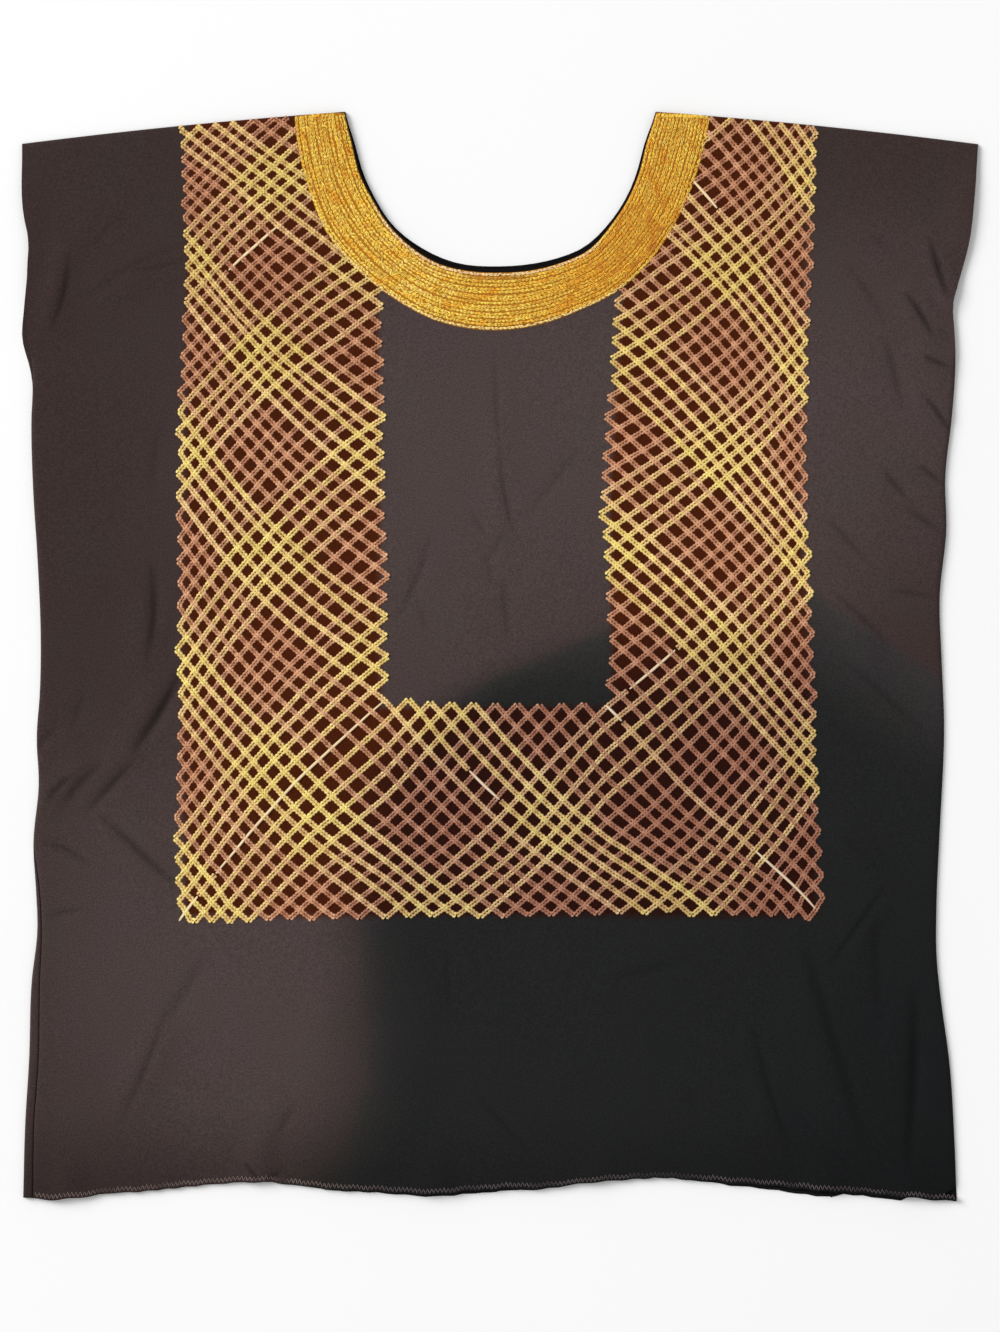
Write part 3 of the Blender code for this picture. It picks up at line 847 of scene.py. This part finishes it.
# The neck band: sixteen rows of machine chain stitch, worked close round the neck in one variegated gold
# thread, over a bed of underlay. The innermost and outermost rows are paler round the neck's bottom.
NECK_ROWS = 16
ROW_PITCH, ROW_SIZE = 2.6, 0.74
BAND_TURN, BAND_MIDDLE, BACK_RIM = 89.6, 126.0, (14, 5)
BED_TURN, BED_THICK, BED_CLEAR = 89.4, 0.35, 0.5
BED_GRAIN, BED_DARKER = (1100.0, 1100.0, 200.0), 0.6
# A link's stations; dim is the painted shade where the link comes out from under the last.
TIGHT_LINK = table("""share gap half ridge dim
    0.04 0.30 0.44 0.30 1.00
    0.30 0.62 0.60 0.80 0.15
    0.64 0.64 0.60 0.88 0.00
    0.94 0.34 0.48 0.42 0.75""")
DEEP_GOLD, GOLD, BRIGHT_GOLD = (206, 118, 30), (250, 184, 44), (255, 226, 92)
PALE_GOLD, BED_BROWN = (255, 222, 172), (190, 124, 28)
# Where the band swells towards the neck, and where its gold is browner or brighter: turns in degrees
# from straight down, to the right, and how far each reaches.
NECK_SWELLS = table("""turn reach swell
    26 13 1.3
    -14 8 1.2""")
NECK_BROWNER = table("""turn reach browner
    44 26 0.21
    -28 20 -0.12""")
NECK_DYE, PATCHES_BROWNER, NECK_DYE_MOST = 0.70, 0.22, 0.84
INNERMOST_DYE, OUTERMOST_DYE, PALE_MIDDLE, PALE_REACH = 0.97, 0.90, -6, (62, 36)
# How light the rows are, and how much darker each link is where it starts: painted shade.
NECK_SHADE, ROW_DIMMED, PALE_ROW_DIMMED = 0.93, 0.32, 0.30
SECOND_ROW_DIM, SECOND_ROW_REACH = 0.4, (16, 8)
ROW_UNEVEN, MORE_UNEVEN, MORE_AT_LEFT = 0.009, 0.9, (-30, -60)


def chain(path, link, pitch, size, uneven, phase, dimmed, lift, dye, shade):
    """One line of chain stitch as two strands, each link with the stations of its table.

    A link starts low and narrow inside the last one, opens to a loop, and closes high where the next
    link holds it down. It is darker where it starts, painted shade where it comes out from under the last
    link. An uneven chain has links of different sizes that lean to either side. It starts by a phase of
    one link late. The lift, dye and shade are given along the path.
    """
    run = run_of(path)
    links = max(round(run[-1] / pitch), 1)
    stations = len(link["share"])
    starts = np.arange(links) + rng.normal(0, uneven / 3, links) + phase
    share = ((starts[:, None] + link["share"]) / (links + phase)).ravel().clip(0, 1)
    centre = at_shares(path, share)
    gap, half, ridge = (np.tile(link[part], links) * size for part in ("gap", "half", "ridge"))
    loose = np.repeat(1 + rng.normal(0, 0.04 + uneven / 4, links), stations)
    leans = np.repeat(rng.normal(0, uneven, links), stations) * np.tile(link["share"] - 0.5, links)
    side = sides_of(path)
    left = np.column_stack([np.interp(share, run / run[-1], side[:, axis]) for axis in (0, 1)])
    lift, dye, shade = (np.interp(share, run / run[-1], along) for along in (lift, dye, shade))
    shade = shade + np.repeat(rng.normal(0, 0.03 + dimmed / 5, links), stations)
    shade = shade - dimmed * np.tile(link["dim"], links)
    for turn in (1, -1):
        middle = centre + left * (turn * gap * loose + leans)[:, None]
        tone = shade + rng.normal(0, 0.015, len(shade)) + turn * 0.015
        yield middle, left, half, ridge, lift, np.column_stack([dye, tone])


def in_polar(points):
    """Turn from straight down, in degrees, and distance, of points round the middle of the neck."""
    across, down = points[..., 0], neck_top - points[..., 1]
    return np.degrees(np.arctan2(across, down)), np.hypot(across, down)


neck_top = back_edges[3][:, 1].max()
band_rim = np.column_stack(in_polar(rim_of("neck_band")))
band_rim = band_rim[np.argsort(band_rim[:, 0])]
outside = band_rim[:, 1] > BAND_MIDDLE
band_inner, band_outer = band_rim[~outside], band_rim[outside]


def neck_place(turn, share):
    """The point at a turn round the neck and a share of the way across the band.

    The share runs from the band's inner edge to its outer one. The inner edge swells towards the neck
    in two places, each a bell over the turn.
    """
    inner, outer = np.interp(turn, *band_inner.T), np.interp(turn, *band_outer.T)
    for middle, reach, swell in zip(*NECK_SWELLS.values()):
        inner = inner - swell * np.exp(-(((turn - middle) / reach) ** 2))
    away = inner + (outer - inner) * share
    angle = np.radians(turn)
    return np.stack([away * np.sin(angle), neck_top - away * np.cos(angle)], -1)


def shoulder_y(x):
    """Height of the shoulder seam above x."""
    return np.interp(x, *front_over.T)


# The back's cloth is blackest at its rim inside the neck: a dark facing with painted shadow.
turn, away = in_polar(back_points)
rim = fade(away - np.interp(turn, *band_inner.T), *BACK_RIM)
hold(back, "worked", np.stack([0 * rim, rim, 0 * rim], -1))

turn = np.linspace(-BED_TURN, BED_TURN, 181)[:, None]
share = np.linspace(0.0, 1.0, 9)
bed_points = neck_place(turn + 0 * share, share + 0 * turn)
bed_points[..., 1] = np.minimum(bed_points[..., 1], shoulder_y(bed_points[..., 0]) - BED_CLEAR)
bed_height = front_top(*np.moveaxis(bed_points, -1, 0)) + BED_THICK * np.sin(math.pi * share) ** 0.3

bed_material, bed_shader, bed_place = finish_of("gold_underlay", "Object")
bed_grain = bed_place.noise(BED_GRAIN, detail=3.0).rise(0.3, 0.7)
set_sockets(bed_shader, {
    "Base Color": bed_grain.mix(linear(BED_BROWN, BED_DARKER), linear(BED_BROWN)),
    "Roughness": 0.8,
    "Specular IOR Level": 0.2,
})
bed = cloth_piece("neck_underlay", bed_points[:, ::-1], bed_height[:, ::-1], bed_material)

neck_threads = []
# The dye's patches: how quickly each sine goes round the neck and across the band, and where it starts.
NECK_WAVES = [(rng.uniform(0.10, 0.9), rng.uniform(4, 26), rng.uniform(0, 6.3)) for _ in range(12)]
for row in range(NECK_ROWS):
    turn = np.linspace(-BAND_TURN, BAND_TURN, 500)
    between = 0 < row < NECK_ROWS - 1
    uneven = ROW_UNEVEN * between * (1 + MORE_UNEVEN * fade(turn, *MORE_AT_LEFT))
    share = (row + 0.6) / (NECK_ROWS + 0.2) + wander(500, 30, 1.0) * uneven
    path = neck_place(turn, share)
    inside = path[:, 1] < shoulder_y(path[:, 0]) - 1.0
    path, turn, share = path[inside], turn[inside], share[inside]
    count = len(path)
    patches = sum(np.sin(turn * around + share * across + phase) for around, across, phase in NECK_WAVES)
    browner = sum(
        brown * np.exp(-(((turn - middle) / reach) ** 2))
        for middle, reach, brown in zip(*NECK_BROWNER.values())
    )
    browner += PATCHES_BROWNER * fade(patches + wander(count, 9, 0.9), 0.6, 4.5)
    dye = (NECK_DYE - browner + wander(count, 3, 0.09)).clip(0.02, NECK_DYE_MOST)
    shade = NECK_SHADE + wander(count, 25, 0.04)
    if not between:
        pale = fade(np.abs(turn - PALE_MIDDLE), *PALE_REACH)
        dye = dye + pale * ((INNERMOST_DYE if row == 0 else OUTERMOST_DYE) - dye)
    if row == 1:
        shade = shade - SECOND_ROW_DIM * fade(np.abs(turn), *SECOND_ROW_REACH)
    lift = BED_THICK + wander(count, 12, 0.05)
    neck_threads += chain(
        path, TIGHT_LINK, ROW_PITCH, ROW_SIZE, uneven=0.75, phase=rng.uniform(0, 0.7),
        dimmed=ROW_DIMMED if between else PALE_ROW_DIMMED, lift=lift, dye=dye, shade=shade,
    )
gold = thread_finish(
    "gold_thread", [(0, DEEP_GOLD), (0.45, GOLD), (0.8, BRIGHT_GOLD), (1, PALE_GOLD)], 0.5, 0.2
)
neck_rows = threads_piece("neck_rows", neck_threads, gold)
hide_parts("neck_band")

# The lattice band: slanting lines of chain stitch that cross in diamonds and turn at its zigzag edges.
# The thread's dye changes as the work goes on, rust through peach to yellow and back every ten lines,
# so the crossings make larger diamonds of colour. Counts across and up the bands are in diamonds.
BAND, WHOLE = 10, 30
LAYOUT = table("""up x0 x10 x20 x30 y0 y10 y20 y30
    0 -223.3 -79.8 83.3 225.4 -185.5 -184.0 -180.0 -181.0
    5 -224.9 -79.8 79.0 223.3 -112.7 -115.5 -113.5 -109.2
    10 -225.4 -79.8 75.6 221.2 -41.3 -32.2 -32.9 -39.2
    20 -224.7 -80.5 72.8 213.5 112.7 111.3 112.7 98.7
    30 -221.9 -81.9 81.2 216.3 249.2 244.3 245.7 233.1
    41 -221.9 -79.0 92.0 220.5 369.0 385.0 388.0 378.0
    53 -221.9 -79.0 96.0 220.5 500.0 540.0 540.0 530.0""")
# Where the work is pulled aside, and how far each pull reaches along its own way and beside it.
PULLS = table("""x y dx dy reach aside
    138 -104 -7.2 -7.2 45 85
    -152 -106 -3.0 3.0 50 50""")
WIDENS, DRIFT = 0.22, 0.55
# A link's stations; dim is the painted shade where the link comes out from under the last.
OPEN_LINK = table("""share gap half ridge dim
    0.00 0.60 0.98 0.66 1.00
    0.28 1.05 0.92 0.78 0.10
    0.62 1.08 0.92 0.86 0.00
    0.86 0.68 1.02 0.94 0.35""")
# The links' pitch and unevenness, and how much darker each is where it starts: painted shade.
LINE_PITCH, LINE_UNEVEN, LINK_DIMMED = 2.5, 0.1, 0.14
CROSSING_LIFT, CROSSING_REACH = 0.45, 0.16
LINE_POINTS, SHORTEST = 260, 6
TIPS, TIP_REACH, TIP_MOST = 80, 0.8, 1.3
TIP_ROUND, TIP_STANDS, TIP_FADES = 0.45, 0.45, 14
NECK_BEGINS, NECK_CLEAR, SHOULDER_CLEAR = 190, -1.8, 1.0
TUCKED, TUCKED_UNDER = (0.8, -1.4), 0.5
LEFT_LEG, RIGHT_LEG = -95, 92
RUST, PEACH = (221, 163, 124), (230, 188, 142)
YELLOW, LEMON, CREAM = (241, 204, 140), (243, 219, 124), (246, 224, 178)
YELLOW_EVERY, YELLOW_FROM_LEFT, YELLOW_FROM_RIGHT = 10.0, 2.1, 7.8
YELLOW_WITHIN, RUST_BEYOND = 1.8, 3.1
# A line's dye: its least and its span, how much of the other line's yellow it shows, and how much
# yellower its crossings are. A yellow line is also a little fuller.
DYE_LEAST, DYE_SPAN, BLEEDS, CROSSING_DYES = 0.04, 0.84, 0.2, 0.08
DYE_LIMITS, YELLOW_FULLER = (0.02, 0.93), 0.07
# A line's shade: dimmer where it is rust, dimmed by painted shade over the deepest cotton and near the
# shoulders, and brighter at its crossings. Yellow is dimmed and brightened less, and the painted shade
# over the deepest cotton dims more at the right.
LINE_SHADE, RUST_DIMS, RUST_DIMS_BESIDE_YELLOW = 0.76, 0.23, 0.02
DEEP_DIMS, DEEP_SPARES_YELLOW, DEEP_DIMS_RIGHT, RIGHT = 0.35, 0.12, 0.10, (20, 150)
CROSSING_SHADE, CROSSING_SPARES_YELLOW, CROSSING_MEAN = 0.50, 0.22, 0.35
SHOULDER_SHADE, TO_SHOULDERS = 0.14, (140, 260)
# Stretches where a line carries a single thread in place of its chain.
BARE = table("""x0 y0 x1 y1
    -79.8 -32.9 -197.4 -152.9
    -208.0 -171.0 -223.3 -185.5
    75.6 -32.9 84.7 -45.5
    176.4 -138.6 219.5 -177.0
    -191.8 271.6 -158.2 303.1
    133.7 329.7 147.0 309.4
    88.9 -22.4 121.8 5.6
    -23.5 -82.6 -1.4 -100.6""")
BARE_HALF, BARE_RIDGE, BARE_LIFT = 1.0, 0.6, 0.7
BARE_DYE, BARE_SHADE, BARE_DIM_DEEP = 0.99, 0.80, 0.15
# The way into the work from each edge of the bands.
INWARD = {
    "left": (1, 0), "right": (-1, 0), "foot": (0, 1),
    "in_left": (-1, 0), "in_right": (1, 0), "in_foot": (0, -1),
}


def smooth(stations, values, at):
    """Cubic Hermite curve through the rows of a table, its slopes taken from the rows on each side."""
    slopes = np.gradient(values, stations)
    row = np.clip(np.searchsorted(stations, at, side="right") - 1, 0, len(stations) - 2)
    step = stations[row + 1] - stations[row]
    t = (at - stations[row]) / step
    start = (1 + 2 * t) * (1 - t) ** 2 * values[row] + t * (1 - t) ** 2 * step * slopes[row]
    return start + t**2 * (3 - 2 * t) * values[row + 1] - t**2 * (1 - t) * step * slopes[row + 1]


# Each drift: how quickly its sine goes across and up, where the sine starts, and which way it pushes.
DRIFTS = [(rng.uniform(-1, 1, 2) / 22, rng.uniform(0, 6.3), rng.uniform(0, 6.3)) for _ in range(8)]


def widen(share):
    """Shares across a band from its outer edge, so that the diamonds grow towards the inner edge."""
    return (1 - WIDENS) * share + WIDENS * share**2.4


def lattice_place(counts):
    """The place of points given in diamonds across and up, drifting a little as handwork does.

    The layout gives the places at each edge of the bands. Between two edges the points are a blend.
    The drifts are a few slow sines with a way of their own, and each pull is a bell that is as long and
    as wide as its reaches. The pulls die away over the outermost three diamonds.
    """
    across, up = counts.T
    left = widen((across / BAND).clip(0, 1))
    right = widen(((WHOLE - across) / BAND).clip(0, 1))
    column = left + ((across - BAND) / (WHOLE - 2 * BAND)).clip(0, 1) + 1 - right
    near = (1 - np.abs(column[:, None] - np.arange(4))).clip(0, 1)
    x, y = (
        sum(near[:, edge] * smooth(LAYOUT["up"], LAYOUT[f"{axis}{edge * 10}"], up) for edge in range(4))
        for axis in "xy"
    )
    shift = np.zeros((len(x), 2))
    for wave, phase, way in DRIFTS:
        shift += np.sin(x * wave[0] + y * wave[1] + phase)[:, None] * (math.cos(way), math.sin(way))
    shift *= DRIFT
    held = fade(np.minimum(up, np.minimum(across, WHOLE - across)), 0, 3)
    for pull_x, pull_y, dx, dy, reach, aside in zip(*PULLS.values()):
        along = ((x - pull_x) * dx + (y - pull_y) * dy) / math.hypot(dx, dy)
        beside = ((x - pull_x) * dy - (y - pull_y) * dx) / math.hypot(dx, dy)
        share = held * np.exp(-((along / reach) ** 2) - (beside / aside) ** 2)
        shift += share[:, None] * (dx, dy)
    return np.column_stack([x, y]) + shift


# How far each tip of an edge stands out or in.
tips_out = {edge: rng.normal(0, TIP_REACH, TIPS).clip(-TIP_MOST, TIP_MOST) for edge in INWARD}


def passes(path, stretch):
    """How far a line passes from the two ends of a stretch, in all, and its points nearest to them."""
    away = [np.hypot(*(path - end).T) for end in (stretch[:2], stretch[2:])]
    return sum(part.min() for part in away), sorted(int(np.argmin(part)) for part in away)


def lattice_line(start, start_edge, end, end_edge):
    """A straight run of diamonds from one tip to another, and its turned-in ends.

    Near a tip the line bends to run along the edge, as a hyperbola does near its vertex, so that two
    lines that meet there make one round turn. Between its ends it also wavers to either side, by a
    shift of its own, a slow waver and a smaller, quicker one.
    """
    share = np.linspace(0, 1, LINE_POINTS)[:, None]
    counts = np.array(start) * (1 - share) + np.array(end) * share
    path = lattice_place(counts)
    run = run_of(path)
    for edge, tip, away in ((start_edge, start, run), (end_edge, end, run[-1] - run)):
        if edge == "corner":
            continue
        inward = np.array(INWARD[edge])
        count = int(abs(tip[1] if inward[0] else tip[0]))
        beside = away * math.sqrt(0.5)
        push = np.sqrt(beside**2 + TIP_ROUND**2) - beside
        push -= (TIP_STANDS * TIP_ROUND + tips_out[edge][count]) * np.exp(-away / TIP_FADES)
        path = path + push[:, None] * inward
    aside = rng.normal(0, 0.5) + wander(len(path), 70, 0.7) + wander(len(path), 22, 0.2)
    wobble = aside * np.sin(math.pi * share[:, 0]) ** 0.4
    return path + sides_of(path) * wobble[:, None], counts


def yellowness(count, first):
    """The dye of a line by its count: 1 near a yellow centre, 0 at rust, and peach between."""
    away = np.abs(np.mod(count - first + YELLOW_EVERY / 2, YELLOW_EVERY) - YELLOW_EVERY / 2)
    return 1 - fade(away, YELLOW_WITHIN, RUST_BEYOND)


def dyes_at(counts):
    """The dyes of the falling and the rising line through points given in diamonds."""
    across, up = counts.T
    on_left = across < WHOLE / 2
    falling = np.where(on_left, across + up, np.abs(WHOLE - across - up))
    rising = np.where(on_left, np.abs(up - across), WHOLE + up - across)
    first = np.where(on_left, YELLOW_FROM_LEFT, YELLOW_FROM_RIGHT)
    return yellowness(falling, first), yellowness(rising, first)


# Each line: whether it is worked, then where it starts and ends, in diamonds, with the edge that it
# turns at. The first two run down the mitres of the lower corners.
inner_right = WHOLE - BAND
lines = [
    (True, (0, 0), "corner", (BAND, BAND), "corner"),
    (True, (WHOLE - 0.4, 0.3), "corner", (inner_right, BAND), "corner"),
]
for n in range(int(LAYOUT["up"][-1])):
    lines += [
        (n > 0, (0, n), "left", (BAND, n + BAND), "in_left"),
        (n > 2 * BAND, (0, n), "left", (BAND, n - BAND), "in_left"),
        (0 < n <= 2 * BAND, (0, n), "left", (n, 0), "foot"),
        (0 < n < BAND, (n, 0), "foot", (n + BAND, BAND), "in_foot"),
        (n > 0, (WHOLE, n), "right", (inner_right, n + BAND), "in_right"),
        (n > 2 * BAND, (WHOLE, n), "right", (inner_right, n - BAND), "in_right"),
        (0 < n <= 2 * BAND, (WHOLE, n), "right", (WHOLE - n, 0), "foot"),
        (0 < n < BAND, (WHOLE - n, 0), "foot", (inner_right - n, BAND), "in_foot"),
    ]

drawn = [lattice_line(*line[1:]) for line in lines if line[0]]
bare_points = [np.zeros(len(path), bool) for path, _ in drawn]
for stretch in zip(*BARE.values()):
    line = min(range(len(drawn)), key=lambda line: passes(drawn[line][0], stretch)[0])
    first, last = passes(drawn[line][0], stretch)[1]
    bare_points[line][first : last + 1] = True

groups = {"left": [], "foot": [], "right": []}
bare_threads = []
for (path, counts), bare in zip(drawn, bare_points):
    turn, away = in_polar(path)
    from_neck = np.where(path[:, 1] > NECK_BEGINS, away - np.interp(turn, *band_outer.T), FAR)
    clear = (from_neck > NECK_CLEAR) & (path[:, 1] < shoulder_y(path[:, 0]) - SHOULDER_CLEAR)
    if clear.sum() < SHORTEST:
        continue
    first, last = np.flatnonzero(clear)[[0, -1]]
    path, counts, from_neck, bare = (part[first : last + 1] for part in (path, counts, from_neck, bare))
    rises = (counts[-1, 0] - counts[0, 0]) * (counts[-1, 1] - counts[0, 1]) > 0
    off_crossing = np.abs(np.mod(counts[:, 0] * 2 + 0.5, 1) - 0.5) / 2
    crossing = np.exp(-((off_crossing / CROSSING_REACH) ** 2))
    lift = (not rises) * CROSSING_LIFT * crossing
    lift -= (lift + TUCKED_UNDER) * fade(from_neck, *TUCKED)
    falling_dye, rising_dye = dyes_at(counts)
    own, other = (rising_dye, falling_dye) if rises else (falling_dye, rising_dye)
    deep = tone_and_shade_depth(*path.T)
    dye = (own * (0.9 + 0.1 * other) + BLEEDS * (1 - own) * other) * DYE_SPAN + DYE_LEAST
    dye += wander(len(path), 30, 0.04)
    dye = (dye + CROSSING_DYES * own * (crossing - 0.5)).clip(*DYE_LIMITS)
    shade = LINE_SHADE + wander(len(path), 35, 0.05) + rng.normal(0, 0.03)
    # Painted shade over the cotton's deepest black.
    shade -= (DEEP_DIMS - DEEP_SPARES_YELLOW * own + DEEP_DIMS_RIGHT * fade(path[:, 0], *RIGHT)) * deep
    at_crossing = (CROSSING_SHADE - CROSSING_SPARES_YELLOW * own) * (crossing - CROSSING_MEAN)
    shade += at_crossing - (RUST_DIMS + RUST_DIMS_BESIDE_YELLOW * other) * (1 - own)
    # Painted shade towards the shoulders.
    shade -= SHOULDER_SHADE * fade(path[:, 1], *TO_SHOULDERS)
    middle = path[len(path) // 2, 0]
    group = "left" if middle < LEFT_LEG else "right" if middle > RIGHT_LEG else "foot"
    for stretch in np.split(np.arange(len(path)), np.flatnonzero(np.diff(bare)) + 1):
        along = path[stretch]
        if bare[stretch[0]]:
            thin = np.sin(math.pi * np.linspace(0.02, 0.98, len(along))) ** 0.25
            # Dimmed by painted shade over the cotton's deepest black.
            bare_shade = BARE_SHADE + wander(len(along), 12, 0.04) - BARE_DIM_DEEP * deep[stretch]
            uv = np.column_stack([BARE_DYE + 0 * thin, bare_shade])
            bare_threads.append(
                (along, sides_of(along), BARE_HALF * thin, BARE_RIDGE * thin, BARE_LIFT * thin, uv)
            )
        elif len(along) >= SHORTEST:
            size = 1 + YELLOW_FULLER * own[stretch].mean()
            groups[group] += chain(
                along, OPEN_LINK, LINE_PITCH, size, uneven=LINE_UNEVEN, phase=0.0, dimmed=LINK_DIMMED,
                lift=lift[stretch], dye=dye[stretch], shade=shade[stretch],
            )


def within(value, low, high):
    """1 well between two limits and 0 outside them, with a smooth slope from 1 to 6 mm inside each."""
    return fade(value, low + 1, low + 6) * fade(value, high - 1, high - 6)


# The front's cloth is browner and darker between the lines, painted shade from the raised threads, and
# blackest under the neck's rows and at its rim, a dark facing with painted shadow.
PAST_SHOULDERS, UNDER_ROWS, FRONT_RIM = 500, -6, (-8, -12)
foot_y, inner_y = LAYOUT["y0"][0], LAYOUT["y10"][2]
x, y = np.moveaxis(front_points, -1, 0)
edge_x = [np.interp(y, LAYOUT["y0"], LAYOUT[name]) for name in ("x0", "x10", "x20", "x30")]
legs = within(x, *edge_x[:2]) + within(x, *edge_x[2:])
beside = np.maximum(legs, within(y, foot_y, inner_y) * within(x, edge_x[0], edge_x[3]))
turn, away = in_polar(front_points)
from_neck = away - np.interp(turn, *band_outer.T)
worked = beside.clip(0, 1) * within(y, foot_y, PAST_SHOULDERS) * (from_neck > UNDER_ROWS)
hold(front, "worked", np.stack([worked, fade(from_neck, *FRONT_RIM), 0 * worked], -1))

lattice_dyes = [(0, RUST), (0.45, PEACH), (0.74, YELLOW), (0.93, LEMON), (0.97, CREAM)]
lattice_thread = thread_finish("lattice_thread", lattice_dyes, 0.55, 0.2)
lattice = [
    threads_piece(f"lattice_{side}", threads, lattice_thread)
    for side, threads in groups.items()
]
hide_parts("lattice_band")

# The bare threads: where the work was carried along without a chain, a single pale thread lies straight
# in its place. The longest two run down the mitres of the lattice's lower corners.
bare_piece = threads_piece("bare_threads", bare_threads, lattice_thread)

# The surface that it lies on, plain and pale, with soft light from the upper left and the camera
# straight above.
FLOOR_HALF, FLOOR_DROP = 6000.0, 0.05
FLOOR_PALE, FLOOR_PALER = (246, 246, 246), (248, 248, 248)
FLOOR_PATCHES = (2.0, 2.0, 2.0)
FRAME_TALL, FRAME_MIDDLE_Y = 932.4, -7.0
LENS, SENSOR = 85.0, 36.0
ROOM_LIGHT = 0.55
corners = np.array([(-1, -1), (1, -1), (1, 1), (-1, 1)]) * FLOOR_HALF * MM
floor_mesh = bpy.data.meshes.new("floor")
floor_mesh.from_pydata([(*corner, -FLOOR_DROP * MM) for corner in corners.tolist()], [], [(0, 1, 2, 3)])
floor = bpy.data.objects.new("floor", floor_mesh)
bpy.context.scene.collection.objects.link(floor)
floor_material, floor_shader, floor_place = finish_of("pale_floor", "Object")
tint = floor_place.noise(FLOOR_PATCHES).mix(linear(FLOOR_PALE), linear(FLOOR_PALER))
set_sockets(floor_shader, {"Base Color": tint, "Roughness": 0.9, "Specular IOR Level": 0.1})
floor_mesh.materials.append(floor_material)
floor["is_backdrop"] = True

world = bpy.data.worlds.new("studio")
world.use_nodes = True
set_sockets(world.node_tree.nodes["Background"], {"Color": (1, 1, 1, 1), "Strength": ROOM_LIGHT})
bpy.context.scene.world = world
bpy.context.scene.view_settings.view_transform = "Standard"


def soft_light(name, place, size, power):
    """A square area light, its place and size in metres, that looks at the middle of the garment."""
    lamp = bpy.data.lights.new(name, "AREA")
    lamp.size, lamp.energy = size, power
    light = bpy.data.objects.new(name, lamp)
    bpy.context.scene.collection.objects.link(light)
    light.location = place
    light.rotation_euler = (-light.location).to_track_quat("-Z", "Y").to_euler()


soft_light("window", place=(-11.0, 6.1, 8.3), size=8.0, power=2180.0)

camera_lens = bpy.data.cameras.new("camera")
camera_lens.lens, camera_lens.sensor_width = LENS, SENSOR
camera = bpy.data.objects.new("camera", camera_lens)
camera.location = (0, FRAME_MIDDLE_Y * MM, FRAME_TALL * MM * LENS / SENSOR)
bpy.context.scene.collection.objects.link(camera)
bpy.context.scene.camera = camera

boxes = [[list(corner) for corner in box] for box in (cad_box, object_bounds())]
